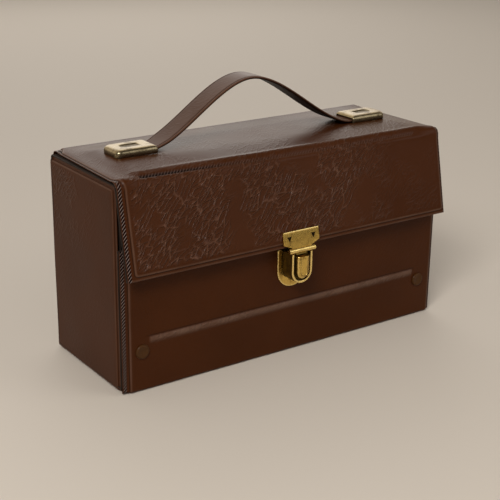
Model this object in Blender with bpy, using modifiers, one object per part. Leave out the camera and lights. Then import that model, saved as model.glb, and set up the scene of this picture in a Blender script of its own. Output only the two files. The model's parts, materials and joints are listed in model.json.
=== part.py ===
"""Tape cartridge carrying case: grained vinyl over board, with a tuck lock and a strap handle.

The frame is in metres with +Z up. The origin is the middle of the underside, the front faces -Y and
the case's length runs along X. The case is drawn closed, as it stands on a table.
"""

import math

import bmesh
import bpy
from mathutils import Vector

MM = 0.001

# Outside of the case
CASE_LENGTH = 318 * MM
CASE_DEPTH = 115 * MM
CASE_HEIGHT = 172 * MM
FRONT_OPENING = 54 * MM

# Layers of every panel, from the outside in, and the clearance between pieces that touch
VINYL = 1.0 * MM
BOARD = 2.4 * MM
LINING = 0.7 * MM
GAP = 0.3 * MM
END_FLANGE = 4.0 * MM
EDGE_FLANGE = 3.0 * MM
SIDE_FLANGE = 3.0 * MM
FACE_ROUND = 2.0 * MM
SIDE_FRONT_GAP = 1.8 * MM

# Flap that hangs from the lid's front edge
FLAP_LENGTH = 76 * MM
FLAP_LEAN = math.radians(11.5)
FLAP_FOLD_INSET = 2.4 * MM
FLAP_CORNER_GAP = 0.45 * MM

# Raised welt across the front wall, where the tray's rim presses from inside
WELT_END_INSET = 23 * MM
WELT_HEIGHT = 6.5 * MM
WELT_RISE = 0.9 * MM
WELT_BELOW_RIM = 2.0 * MM

# Tray and dividers for the cartridges
SLOT_COUNT = 12
TRAY_BELOW_LOCK = 14.6 * MM
TRAY_WALL = 1.0 * MM
TRAY_FLOOR = 1.5 * MM
DIVIDER = 1.5 * MM

# Rivets through the front wall and the tray
RIVET_END_INSET = 17 * MM
RIVET_BELOW_RIM = 10 * MM
RIVET_HEAD_RADIUS = 5.9 * MM
RIVET_HEAD_RISE = 1.5 * MM
RIVET_SHANK_RADIUS = 2.4 * MM
RIVET_CLINCH_RADIUS = 4.0 * MM
RIVET_CLINCH = 0.6 * MM

# Hasp on the flap, measured along the flap from its lower edge
HASP_ABOVE_EDGE = 13.0 * MM
HASP_SHOULDER_ABOVE_EDGE = 2.5 * MM
HASP_NECK_BELOW_EDGE = 1.0 * MM
HASP_BAR_BELOW_EDGE = 3.4 * MM
HASP_HALF_WIDTH = 18 * MM
HASP_NECK_HALF_WIDTH = 9.7 * MM
HASP_PLATE = 1.2 * MM
HASP_BAR_LENGTH = 26.3 * MM
HASP_BAR_RADIUS = 2.2 * MM
TONGUE_HALF_WIDTH = 5 * MM
TONGUE_SINK = 2.0 * MM
TONGUE_CLEARANCE = 0.6 * MM
PRONG_HOLE_END_INSET = 6 * MM
PRONG_HOLE_ABOVE_EDGE = 8.7 * MM
PRONG_HOLE_WIDTH = 4.6 * MM
PRONG_HOLE_HEIGHT = 4.4 * MM

# Lock on the front wall, under the hasp
LOCK_BAR_CLEARANCE = 0.7 * MM
LOCK_BEYOND_FLAP = 2.25 * MM
LOCK_HALF_WIDTH = 10.25 * MM
LOCK_HEIGHT = 26 * MM
LOCK_WALL = 2.0 * MM
LOCK_PLATE = 1.2 * MM
LOCK_BASE_MARGIN = 4.5 * MM
LOCK_BASE_RISE = 1.0 * MM
LOCK_BASE_HEIGHT = 33.9 * MM
LOCK_FACE_SINK = 3.0 * MM
LOCK_FACE_FRAME = 1.8 * MM
LOCK_MOUTH = 1.5 * MM
BUTTON_RISE = 2.8 * MM
BUTTON_EDGE = 0.8 * MM
BUTTON_FLANGE = 1.0 * MM
BUTTON_FLANGE_REACH = 1.2 * MM
LOCK_PRONG_INSET = 2.3 * MM
LOCK_PRONG_BELOW_TOP = 11.5 * MM
LOCK_PRONG_HEIGHT = 5 * MM
SPRING_LENGTH = 6.4 * MM
SPRING_RADIUS = 3.0 * MM
SPRING_WIRE = 0.8 * MM
SPRING_TURNS = 4

# Prongs and the plates that they are clenched on, inside the case
PRONG_WIDTH = 2.6 * MM
PRONG_THICKNESS = 1.0 * MM
PRONG_TAIL = 0.6 * MM
BACKING = 1.0 * MM
BACKING_MARGIN = 3.0 * MM

# Strap handle on the lid
CAP_END_INSET = 42.5 * MM
CAP_LENGTH = 30 * MM
CAP_WALL = 1.0 * MM
CAP_ROOF = 1.8 * MM
CAP_ROUND = 2.6 * MM
CAP_SIDE_ROOM = 1.0 * MM
CAP_HEAD_ROOM = 1.2 * MM
CAP_MOUTH_CLEARANCE = 1.0 * MM
CAP_RECESS_LENGTH = 17 * MM
CAP_RECESS_WIDTH = 10 * MM
CAP_RECESS = 1.0 * MM
CAP_PRONG_X = 5 * MM
STRAP_WIDTH = 21 * MM
STRAP_THICKNESS = 3.0 * MM
STRAP_LIFT = 1.5 * MM
STRAP_RISE = 52 * MM
STRAP_FLAT_IN_CAP = 3.5 * MM
STRAP_SHORT_OF_MIDDLE = 1.8 * MM
STOP_LENGTH = 3.5 * MM
STOP_OVERHANG = 1.0 * MM

# Sizes that follow from those above
SKIN_DEPTH = VINYL + GAP + BOARD
PANEL = SKIN_DEPTH + GAP + LINING
CORNER = PANEL + GAP
FRONT_Y = -CASE_DEPTH / 2
BACK_Y = CASE_DEPTH / 2
END_X = CASE_LENGTH / 2
FLAP_FOLD_Y = FRONT_Y + FLAP_FOLD_INSET
FLAP_CORNER = PANEL * math.tan((math.pi / 2 - FLAP_LEAN) / 2) + FLAP_CORNER_GAP
LID_UNDERSIDE = CASE_HEIGHT - PANEL
FRONT_WALL_HEIGHT = CASE_HEIGHT - FRONT_OPENING
HASP_TOP = FLAP_LENGTH - HASP_ABOVE_EDGE
HASP_SHOULDER = FLAP_LENGTH - HASP_SHOULDER_ABOVE_EDGE
HASP_NECK = FLAP_LENGTH + HASP_NECK_BELOW_EDGE
HASP_BAR = FLAP_LENGTH + HASP_BAR_BELOW_EDGE
HASP_MIDDLE = GAP + HASP_PLATE / 2
HASP_BAR_Z = CASE_HEIGHT - HASP_BAR * math.cos(FLAP_LEAN) + HASP_MIDDLE * math.sin(FLAP_LEAN)
PRONG_HOLE_X = HASP_HALF_WIDTH - PRONG_HOLE_END_INSET
PRONG_HOLE_TOP = FLAP_LENGTH - PRONG_HOLE_ABOVE_EDGE
LOCK_TOP = HASP_BAR_Z - HASP_BAR_RADIUS - LOCK_BAR_CLEARANCE
LOCK_BOTTOM = LOCK_TOP - LOCK_HEIGHT
LOCK_BASE_HALF_WIDTH = LOCK_HALF_WIDTH + LOCK_BASE_MARGIN
LOCK_BASE_TOP = LOCK_TOP + LOCK_BASE_RISE
LOCK_BASE_BOTTOM = LOCK_BASE_TOP - LOCK_BASE_HEIGHT
TRAY_BOTTOM = PANEL + GAP
TRAY_TOP = LOCK_BASE_BOTTOM - TRAY_BELOW_LOCK
WELT_Z = TRAY_TOP - WELT_BELOW_RIM
RIVET_X = END_X - RIVET_END_INSET
RIVET_Z = TRAY_TOP - RIVET_BELOW_RIM
LOCK_BASE_FACE = FRONT_Y - GAP - LOCK_PLATE
LOCK_BODY_BACK = LOCK_BASE_FACE - GAP
LOCK_FRONT = FLAP_FOLD_Y - FLAP_LENGTH * math.sin(FLAP_LEAN) - LOCK_BEYOND_FLAP
LOCK_DEPTH = LOCK_BODY_BACK - LOCK_FRONT
LOCK_PRONG_X = LOCK_BASE_HALF_WIDTH - LOCK_PRONG_INSET
LOCK_PRONG_Z = LOCK_TOP - LOCK_PRONG_BELOW_TOP
BUTTON_FRAME = GAP + LOCK_FACE_FRAME + GAP
BUTTON_HALF_WIDTH = LOCK_HALF_WIDTH - LOCK_WALL - BUTTON_FRAME
BUTTON_TOP = LOCK_TOP - LOCK_MOUTH - LOCK_FACE_FRAME - GAP
BUTTON_BOTTOM = LOCK_BOTTOM + LOCK_WALL + BUTTON_FRAME
BUTTON_FRONT = LOCK_FRONT - BUTTON_RISE
BUTTON_BACK = LOCK_BASE_FACE - GAP - SPRING_LENGTH - GAP
BUTTON_DEPTH = BUTTON_BACK - BUTTON_FRONT
BUTTON_FLANGE_BACK = LOCK_FRONT + LOCK_FACE_SINK + LOCK_PLATE + GAP + BUTTON_FLANGE
TONGUE_TIP_Z = BUTTON_TOP + TONGUE_CLEARANCE + TONGUE_SINK * math.sin(FLAP_LEAN)
HASP_TIP = (CASE_HEIGHT - TONGUE_TIP_Z) / math.cos(FLAP_LEAN)
CAP_X = END_X - CAP_END_INSET
CAP_WIDTH = STRAP_WIDTH + 2 * (CAP_SIDE_ROOM + CAP_WALL)
CAP_HEIGHT = STRAP_LIFT + STRAP_THICKNESS + STOP_OVERHANG + CAP_HEAD_ROOM + CAP_ROOF
STRAP_HALF_SPAN = CAP_X - CAP_LENGTH / 2 + STRAP_FLAT_IN_CAP
STRAP_HALF_LENGTH = CAP_X - STRAP_SHORT_OF_MIDDLE

ROUND_STEPS = 10
FACING_FRONT = (math.pi / 2, 0, 0)
FACING_BACK = (math.pi / 2, 0, math.pi)
FACING_LEFT = (math.pi / 2, 0, -math.pi / 2)
FACING_RIGHT = (math.pi / 2, 0, math.pi / 2)
FACING_DOWN = (math.pi, 0, 0)
ACROSS_LENGTH = (math.pi / 2, 0, math.pi / 2)

for old in list(bpy.data.objects):
    bpy.data.objects.remove(old, do_unlink=True)

PARTS = bpy.data.collections.new("tape_cartridge_case")
CUTTERS = bpy.data.collections.new("cutters")
bpy.context.scene.collection.children.link(PARTS)
bpy.context.scene.collection.children.link(CUTTERS)


def finish(name, colour, roughness, metallic=0.0):
    """One Principled finish."""
    made = bpy.data.materials.new(name)
    made.use_nodes = True
    shader = made.node_tree.nodes["Principled BSDF"]
    shader.inputs["Base Color"].default_value = (*colour, 1.0)
    shader.inputs["Roughness"].default_value = roughness
    shader.inputs["Metallic"].default_value = metallic
    return made


BROWN_VINYL = finish("brown_vinyl", (0.075, 0.026, 0.014), 0.38)
GREY_BOARD = finish("grey_board", (0.32, 0.27, 0.20), 0.9)
DARK_LINING = finish("dark_lining", (0.035, 0.022, 0.016), 0.7)
BRASS = finish("brass", (0.62, 0.42, 0.13), 0.25, 1.0)
PALE_BRASS = finish("pale_brass", (0.60, 0.50, 0.32), 0.3, 1.0)
STEEL = finish("spring_steel", (0.45, 0.45, 0.45), 0.35, 1.0)
TRAY_PLASTIC = finish("tray_plastic", (0.03, 0.028, 0.026), 0.5)


def as_part(name, mesh, material):
    """A named piece of the case."""
    piece = bpy.data.objects.new(name, mesh)
    piece.data.materials.append(material)
    PARTS.objects.link(piece)
    return piece


def as_tool(piece):
    """Turns a piece into a hidden tool for cuts and joins."""
    PARTS.objects.unlink(piece)
    CUTTERS.objects.link(piece)
    piece.hide_render = True
    piece.display_type = "WIRE"
    return piece


def hold(piece, axis, location=(0, 0, 0), rotation=(0, 0, 0)):
    """Seats a piece in the frame of the axis that carries it."""
    piece.parent = axis
    piece.location = location
    piece.rotation_euler = rotation
    return piece


def boolean(piece, tool, operation):
    """Cuts, or joins, a piece with a tool."""
    step = piece.modifiers.new(tool.name, "BOOLEAN")
    step.operation = operation
    step.object = tool


def smooth(piece, angle=math.radians(35)):
    """Round faces shade smooth and real edges stay sharp."""
    piece.data.shade_smooth()
    piece.data.set_sharp_from_angle(angle=angle)
    return piece


def block(name, low, high, material, rounding=0.0, rounded="top"):
    """A box from its low corner to its high corner, with its top or all its upright edges rounded."""
    shape = bmesh.new()
    bmesh.ops.create_cube(shape, size=1.0)
    low = Vector(low)
    high = Vector(high)
    for vertex in shape.verts:
        for axis in range(3):
            vertex.co[axis] = low[axis] if vertex.co[axis] < 0 else high[axis]
    if rounding:
        top = [edge for edge in shape.edges if all(abs(v.co.z - high.z) < GAP / 2 for v in edge.verts)]
        upright = [edge for edge in shape.edges if abs(edge.verts[0].co.z - edge.verts[1].co.z) > GAP / 2]
        chosen = top if rounded == "top" else top + upright
        bmesh.ops.bevel(shape, geom=chosen, offset=rounding, segments=3, profile=0.5, affect="EDGES")
    mesh = bpy.data.meshes.new(name)
    shape.to_mesh(mesh)
    shape.free()
    return as_part(name, mesh, material)


def outline_solid(name, points, thickness, material):
    """A closed flat outline in local XY, with its thickness shared evenly about z = 0."""
    curve = bpy.data.curves.new(name, "CURVE")
    curve.dimensions = "2D"
    curve.fill_mode = "BOTH"
    curve.extrude = thickness / 2
    spline = curve.splines.new("POLY")
    spline.points.add(len(points) - 1)
    for point, (x, y) in zip(spline.points, points):
        point.co = (x, y, 0, 1)
    spline.use_cyclic_u = True
    return curve_to_part(name, curve, material)


def curve_to_part(name, curve, material):
    """The solid of a filled or bevelled curve, with its caps welded on."""
    holder = bpy.data.objects.new(name + "_curve", curve)
    PARTS.objects.link(holder)
    bpy.context.view_layer.update()
    evaluated = holder.evaluated_get(bpy.context.evaluated_depsgraph_get())
    mesh = bpy.data.meshes.new_from_object(evaluated)
    bpy.data.objects.remove(holder, do_unlink=True)
    shape = bmesh.new()
    shape.from_mesh(mesh)
    bmesh.ops.remove_doubles(shape, verts=shape.verts, dist=GAP / 30)
    bmesh.ops.recalc_face_normals(shape, faces=shape.faces)
    shape.to_mesh(mesh)
    shape.free()
    mesh.materials.clear()
    return as_part(name, mesh, material)


def turned(name, profile, material, steps=24):
    """A profile of (radius, height) points, listed top to bottom, turned about local Z."""
    shape = bmesh.new()
    points = [shape.verts.new((radius, 0, height)) for radius, height in profile]
    for first, second in zip(points, points[1:]):
        shape.edges.new((first, second))
    mesh = bpy.data.meshes.new(name)
    shape.to_mesh(mesh)
    shape.free()
    piece = as_part(name, mesh, material)
    turn = piece.modifiers.new("turn", "SCREW")
    turn.axis = "Z"
    turn.steps = steps
    turn.render_steps = steps
    turn.use_merge_vertices = True
    turn.merge_threshold = GAP / 100
    return piece


def arc(centre, radius, start, end, steps=ROUND_STEPS):
    """Points on a circle from one angle to another."""
    angles = [start + (end - start) * step / steps for step in range(steps + 1)]
    return [(centre[0] + radius * math.cos(a), centre[1] + radius * math.sin(a)) for a in angles]


def u_path(half_width, top, bottom):
    """A U from its left top, round its foot, to its right top."""
    foot = arc((0, bottom + half_width), half_width, math.pi, 2 * math.pi)
    return [(-half_width, top), *foot, (half_width, top)]


def pivot(name, parent=None, location=(0, 0, 0), rotation=(0, 0, 0)):
    """An empty that stands on an axis and carries the pieces that move about it."""
    made = bpy.data.objects.new(name, None)
    PARTS.objects.link(made)
    return hold(made, parent, location, rotation)


def fold_middle(first, second, setback):
    """Middle of a fold's outer arc, from the sharp corner that it rounds: the line it bends about."""
    first = Vector(first)
    second = Vector(second)
    half_angle = first.angle(second) / 2
    radius = (setback - GAP) * math.tan(half_angle)
    return (first + second).normalized() * (radius / math.sin(half_angle) - radius)


DOWN_FLAP = (-math.sin(FLAP_LEAN), -math.cos(FLAP_LEAN))
LID_BEND = fold_middle((-1, 0), (0, -1), CORNER)
FLAP_BEND = fold_middle((1, 0), DOWN_FLAP, FLAP_CORNER)
FLAP_FOLD_FROM_BACK = FLAP_FOLD_Y - BACK_Y
HANGING = (math.pi / 2 - FLAP_LEAN, 0, 0)

CASE_AXIS = pivot("case_axis")
LID_HINGE = pivot("lid_hinge_axis", CASE_AXIS, (0, BACK_Y + LID_BEND.x, CASE_HEIGHT + LID_BEND.y))
LID_AXIS = pivot("lid_back_corner", LID_HINGE, (0, -LID_BEND.x, -LID_BEND.y))
FLAP_HINGE = pivot("flap_hinge_axis", LID_AXIS, (0, FLAP_FOLD_FROM_BACK + FLAP_BEND.x, FLAP_BEND.y))
FLAP_AXIS = pivot("flap_top_corner", FLAP_HINGE, (0, -FLAP_BEND.x, -FLAP_BEND.y), HANGING)
HANDLE_AXIS = pivot("handle_axis", LID_AXIS, (0, -BACK_Y, 0))
BUTTON_AXIS = pivot("button_axis", CASE_AXIS, (0, BUTTON_FRONT, 0))
for bend in (LID_HINGE, FLAP_HINGE):
    bpy.context.view_layer.update()
    print(bend.name, [round(value, 6) for value in bend.matrix_world.translation])


def panel(name, axis, size, flanges, location, rotation=(0, 0, 0)):
    """Skin, board and lining of one panel: local +Z points out and the outer face is at z = 0.

    flanges gives the welded edge beyond the padded face, at -x, +x, -y and +y.
    """
    half_x = size[0] / 2
    half_y = size[1] / 2
    left = -half_x + flanges[0]
    right = half_x - flanges[1]
    low = -half_y + flanges[2]
    high = half_y - flanges[3]
    skin = block(name + "_skin", (left, low, -SKIN_DEPTH), (right, high, 0), BROWN_VINYL, FACE_ROUND)
    brim_top = -SKIN_DEPTH + VINYL
    brim = block(name + "_brim", (-half_x, -half_y, -SKIN_DEPTH), (half_x, half_y, brim_top), BROWN_VINYL)
    pocket_low = (left + VINYL, low + VINYL, -SKIN_DEPTH - GAP)
    pocket_high = (right - VINYL, high - VINYL, -VINYL)
    pocket = block(name + "_pocket", pocket_low, pocket_high, BROWN_VINYL)
    boolean(skin, as_tool(brim), "UNION")
    boolean(skin, as_tool(pocket), "DIFFERENCE")
    inset = VINYL + GAP
    board_low = (left + inset, low + inset, -SKIN_DEPTH)
    board_high = (right - inset, high - inset, -inset)
    board = block(name + "_board", board_low, board_high, GREY_BOARD)
    lining_top = -PANEL + LINING
    lining = block(name + "_lining", (-half_x, -half_y, -PANEL), (half_x, half_y, lining_top), DARK_LINING)
    for piece in (skin, brim, pocket, board, lining):
        hold(piece, axis, location, rotation)
    return skin, board, lining


def fold(name, axis, corner, first, second, setback):
    """A vinyl strip that rounds the corner between two panels and runs the length of the case.

    corner is the sharp outer corner in the axis's YZ plane, first and second point from it along the
    panels, and setback is how far each panel stops short of it.
    """
    first = Vector(first)
    second = Vector(second)
    half_angle = first.angle(second) / 2
    tangent = setback - GAP
    radius = tangent * math.tan(half_angle)
    centre = (first + second).normalized() * (radius / math.sin(half_angle))
    start_point = first * tangent - centre
    end_point = second * tangent - centre
    start = math.atan2(start_point.y, start_point.x)
    sweep = (math.atan2(end_point.y, end_point.x) - start + math.pi) % (2 * math.pi) - math.pi
    outer = arc(centre, radius, start, start + sweep)
    inner = arc(centre, radius - VINYL, start + sweep, start)
    strip = outline_solid(name, outer + inner, CASE_LENGTH, BROWN_VINYL)
    smooth(strip)
    return hold(strip, axis, (0, *corner), ACROSS_LENGTH)


def case_panels():
    """Front wall, bottom, back and the two ends, with the folds under them."""
    ends = (END_FLANGE, END_FLANGE)
    front_size = (CASE_LENGTH, FRONT_WALL_HEIGHT - CORNER)
    front_place = (0, FRONT_Y, (FRONT_WALL_HEIGHT + CORNER) / 2)
    front = panel("front", CASE_AXIS, front_size, (*ends, 0, EDGE_FLANGE), front_place, FACING_FRONT)
    welt_z = WELT_Z - front_place[2]
    welt_x = END_X - WELT_END_INSET
    welt_low = (-welt_x, welt_z - WELT_HEIGHT / 2, -VINYL / 2)
    welt_high = (welt_x, welt_z + WELT_HEIGHT / 2, WELT_RISE)
    welt = block("front_welt", welt_low, welt_high, BROWN_VINYL, WELT_RISE)
    boolean(front[0], as_tool(hold(welt, CASE_AXIS, front_place, FACING_FRONT)), "UNION")

    bottom_size = (CASE_LENGTH, CASE_DEPTH - 2 * CORNER)
    panel("bottom", CASE_AXIS, bottom_size, (*ends, 0, 0), (0, 0, 0), FACING_DOWN)

    back_size = (CASE_LENGTH, CASE_HEIGHT - 2 * CORNER)
    panel("back", CASE_AXIS, back_size, (*ends, 0, 0), (0, BACK_Y, CASE_HEIGHT / 2), FACING_BACK)

    side_front = FRONT_Y + PANEL + SIDE_FRONT_GAP
    side_back = BACK_Y - PANEL - GAP
    side_bottom = PANEL + GAP
    side_top = LID_UNDERSIDE - GAP
    side_size = (side_back - side_front, side_top - side_bottom)
    side_y = (side_back + side_front) / 2
    side_z = (side_top + side_bottom) / 2
    edges = (SIDE_FLANGE,) * 4
    panel("left_side", CASE_AXIS, side_size, edges, (-END_X, side_y, side_z), FACING_LEFT)
    panel("right_side", CASE_AXIS, side_size, edges, (END_X, side_y, side_z), FACING_RIGHT)

    fold("front_bottom_fold", CASE_AXIS, (FRONT_Y, 0), (1, 0), (0, 1), CORNER)
    fold("back_bottom_fold", CASE_AXIS, (BACK_Y, 0), (-1, 0), (0, 1), CORNER)
    return front


def lid_panels():
    """The lid, and the fold that hinges it to the back."""
    front = FLAP_FOLD_Y + FLAP_CORNER
    back = BACK_Y - CORNER
    place = (0, (front + back) / 2 - BACK_Y, 0)
    lid = panel("lid", LID_AXIS, (CASE_LENGTH, back - front), (END_FLANGE, END_FLANGE, 0, 0), place)
    fold("lid_fold", LID_AXIS, (0, 0), (-1, 0), (0, -1), CORNER)
    return lid


def flap_panels():
    """The flap, and the fold that hinges it to the lid."""
    size = (CASE_LENGTH, FLAP_LENGTH - FLAP_CORNER)
    place = (0, -(FLAP_LENGTH + FLAP_CORNER) / 2, 0)
    flap = panel("flap", FLAP_AXIS, size, (END_FLANGE, END_FLANGE, EDGE_FLANGE, 0), place)
    fold("flap_fold", LID_AXIS, (FLAP_FOLD_FROM_BACK, 0), (1, 0), DOWN_FLAP, FLAP_CORNER)
    return flap


def tray_and_dividers():
    """A tray of five plates on the bottom, and the upright plates that part it into slots."""
    outer_x = END_X - PANEL - GAP
    outer_y = BACK_Y - PANEL - GAP
    inner_x = outer_x - TRAY_WALL
    inner_y = outer_y - TRAY_WALL
    floor = TRAY_BOTTOM + TRAY_FLOOR
    foot = floor + GAP
    end_y = inner_y - GAP
    plates = {
        "tray_floor": ((-outer_x, -outer_y, TRAY_BOTTOM), (outer_x, outer_y, floor)),
        "tray_front": ((-outer_x, -outer_y, foot), (outer_x, -inner_y, TRAY_TOP)),
        "tray_back": ((-outer_x, inner_y, foot), (outer_x, outer_y, TRAY_TOP)),
        "tray_left": ((-outer_x, -end_y, foot), (-inner_x, end_y, TRAY_TOP)),
        "tray_right": ((inner_x, -end_y, foot), (outer_x, end_y, TRAY_TOP)),
    }
    tray = {name: block(name, *corners, TRAY_PLASTIC) for name, corners in plates.items()}
    for plate in tray.values():
        hold(plate, CASE_AXIS)
    slot = (2 * inner_x - (SLOT_COUNT - 1) * DIVIDER) / SLOT_COUNT
    for number in range(1, SLOT_COUNT):
        x = -inner_x + number * slot + (number - 1) * DIVIDER
        low = (x, -end_y, foot)
        high = (x + DIVIDER, end_y, TRAY_TOP - GAP)
        hold(block(f"divider_{number:02d}", low, high, TRAY_PLASTIC), CASE_AXIS)
    return tray["tray_front"]


def tray_rivets(front, tray_front):
    """A domed rivet near each end of the front wall, clinched inside the tray."""
    grip = GAP + PANEL + GAP + TRAY_WALL + GAP
    rim = RIVET_HEAD_RISE / 3
    dome = [(RIVET_HEAD_RADIUS * math.sin(a), rim + (RIVET_HEAD_RISE - rim) * math.cos(a))
            for a in (math.pi / 2 * step / ROUND_STEPS for step in range(ROUND_STEPS + 1))]
    profile = [
        (0, RIVET_HEAD_RISE),
        *dome[1:],
        (RIVET_HEAD_RADIUS, 0),
        (RIVET_SHANK_RADIUS, 0),
        (RIVET_SHANK_RADIUS, -grip),
        (RIVET_CLINCH_RADIUS, -grip),
        (RIVET_CLINCH_RADIUS, -grip - RIVET_CLINCH),
        (0, -grip - RIVET_CLINCH),
    ]
    for name, x in (("left", -RIVET_X), ("right", RIVET_X)):
        place = (x, FRONT_Y - GAP, RIVET_Z)
        rivet = turned(f"tray_rivet_{name}", profile, BROWN_VINYL)
        smooth(hold(rivet, CASE_AXIS, place, FACING_FRONT))
        hole_radius = RIVET_SHANK_RADIUS + GAP
        hole_profile = [(0, PANEL), (hole_radius, PANEL), (hole_radius, -2 * grip), (0, -2 * grip)]
        hole = as_tool(turned(f"tray_rivet_hole_{name}", hole_profile, BROWN_VINYL))
        hold(hole, CASE_AXIS, place, FACING_FRONT)
        for layer in (*front, tray_front):
            boolean(layer, hole, "DIFFERENCE")


def prong(name, face, x, y, size, top, layers, carrier, backing):
    """A tab on carrier that goes down through the layers and through a backing plate.

    x and y are its middle on the face, size is its width and thickness, and top is where it
    leaves its carrier. The slots around it keep a clearance on every side.
    """
    half_x = size[0] / 2
    half_y = size[1] / 2
    tail = -PANEL - GAP - BACKING - PRONG_TAIL
    tab = block(name, (x - half_x, y - half_y, tail), (x + half_x, y + half_y, top), BRASS)
    boolean(carrier, as_tool(hold(tab, face.parent_axis, face.origin, face.rotation)), "UNION")
    slot_low = (x - half_x - GAP, y - half_y - GAP, tail - GAP)
    slot_high = (x + half_x + GAP, y + half_y + GAP, GAP / 2)
    slot = as_tool(block(name + "_slot", slot_low, slot_high, BRASS))
    hold(slot, face.parent_axis, face.origin, face.rotation)
    for layer in (*layers, backing):
        boolean(layer, slot, "DIFFERENCE")


class Face:
    """A panel's outer face as a place to mount things: local XY on the face and +Z out of it."""

    def __init__(self, parent_axis, origin, rotation=(0, 0, 0)):
        self.parent_axis = parent_axis
        self.origin = origin
        self.rotation = rotation


def backing_plate(name, face, low, high):
    """A metal plate against the lining, under a piece mounted on the panel's face."""
    top = -PANEL - GAP
    plate = block(name, (*low, top - BACKING), (*high, top), STEEL)
    return hold(plate, face.parent_axis, face.origin, face.rotation)


def lock(front):
    """Base plate, body, face plate, push button, spring and backing plate of the tuck lock."""
    face = Face(CASE_AXIS, (0, FRONT_Y, 0), FACING_FRONT)
    base_y = FRONT_Y - GAP - LOCK_PLATE / 2
    base_path = u_path(LOCK_BASE_HALF_WIDTH, LOCK_BASE_TOP, LOCK_BASE_BOTTOM)
    base = outline_solid("lock_base", base_path, LOCK_PLATE, BRASS)
    hold(smooth(base), CASE_AXIS, (0, base_y, 0), FACING_FRONT)
    backing_half = LOCK_PRONG_X + PRONG_THICKNESS + BACKING_MARGIN
    half_height = LOCK_PRONG_HEIGHT / 2 + BACKING_MARGIN
    low = (-backing_half, LOCK_PRONG_Z - half_height)
    high = (backing_half, LOCK_PRONG_Z + half_height)
    backing = backing_plate("lock_backing", face, low, high)
    for name, x in (("left", -LOCK_PRONG_X), ("right", LOCK_PRONG_X)):
        size = (PRONG_THICKNESS, LOCK_PRONG_HEIGHT)
        top = GAP + LOCK_PLATE / 2
        prong(f"lock_prong_{name}", face, x, LOCK_PRONG_Z, size, top, front, base, backing)

    inner_half = LOCK_HALF_WIDTH - LOCK_WALL
    inner_bottom = LOCK_BOTTOM + LOCK_WALL
    ring = u_path(LOCK_HALF_WIDTH, LOCK_TOP, LOCK_BOTTOM)
    ring += reversed(u_path(inner_half, LOCK_TOP, inner_bottom))
    body = outline_solid("lock_body", ring, LOCK_DEPTH, BRASS)
    hold(smooth(body), CASE_AXIS, (0, LOCK_BODY_BACK - LOCK_DEPTH / 2, 0), FACING_FRONT)

    face_y = LOCK_FRONT + LOCK_FACE_SINK + LOCK_PLATE / 2
    face_path = u_path(inner_half - GAP, LOCK_TOP - LOCK_MOUTH, inner_bottom + GAP)
    face_plate = outline_solid("lock_face", face_path, LOCK_PLATE, BRASS)
    hold(smooth(face_plate), CASE_AXIS, (0, face_y, 0), FACING_FRONT)
    window_path = u_path(BUTTON_HALF_WIDTH + GAP, BUTTON_TOP + GAP, BUTTON_BOTTOM - GAP)
    window = as_tool(outline_solid("lock_face_window", window_path, 2 * LOCK_PLATE, BRASS))
    boolean(face_plate, hold(window, CASE_AXIS, (0, face_y, 0), FACING_FRONT), "DIFFERENCE")

    button_path = u_path(BUTTON_HALF_WIDTH, BUTTON_TOP, BUTTON_BOTTOM)
    button = outline_solid("lock_button", button_path, BUTTON_DEPTH, BRASS)
    hold(smooth(button), BUTTON_AXIS, (0, BUTTON_DEPTH / 2, 0), FACING_FRONT)
    soften = button.modifiers.new("soften", "BEVEL")
    soften.width = BUTTON_EDGE
    soften.segments = 2
    soften.limit_method = "ANGLE"
    soften.angle_limit = math.radians(60)

    flange_half = BUTTON_HALF_WIDTH + BUTTON_FLANGE_REACH
    flange_bottom = BUTTON_BOTTOM - BUTTON_FLANGE_REACH
    flange_path = u_path(flange_half, BUTTON_TOP + BUTTON_FLANGE_REACH, flange_bottom)
    flange = as_tool(outline_solid("button_flange", flange_path, BUTTON_FLANGE, BRASS))
    flange_y = BUTTON_FLANGE_BACK - BUTTON_FLANGE / 2 - BUTTON_FRONT
    boolean(button, hold(flange, BUTTON_AXIS, (0, flange_y, 0), FACING_FRONT), "UNION")

    spring_start = BUTTON_BACK + GAP + SPRING_WIRE / 2
    spring_end = LOCK_BASE_FACE - GAP - SPRING_WIRE / 2
    coil_spring("lock_spring", spring_start, spring_end, (BUTTON_TOP + BUTTON_BOTTOM) / 2)


def coil_spring(name, start, end, height):
    """A compression spring along Y between the button and the base plate."""
    per_turn = 10
    count = per_turn * SPRING_TURNS
    points = []
    for step in range(count + 1):
        angle = 2 * math.pi * step / per_turn
        along = start + (end - start) * step / count
        points.append((SPRING_RADIUS * math.cos(angle), along, height + SPRING_RADIUS * math.sin(angle)))
    pitch = (end - start) / SPRING_TURNS
    print(f"{name}: {pitch - SPRING_WIRE:.5f} m between turns")
    curve = bpy.data.curves.new(name, "CURVE")
    curve.dimensions = "3D"
    curve.bevel_depth = SPRING_WIRE / 2
    curve.bevel_resolution = 1
    curve.use_fill_caps = True
    spline = curve.splines.new("POLY")
    spline.points.add(count)
    for point, place in zip(spline.points, points):
        point.co = (*place, 1)
    hold(smooth(curve_to_part(name, curve, STEEL)), CASE_AXIS)


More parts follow.
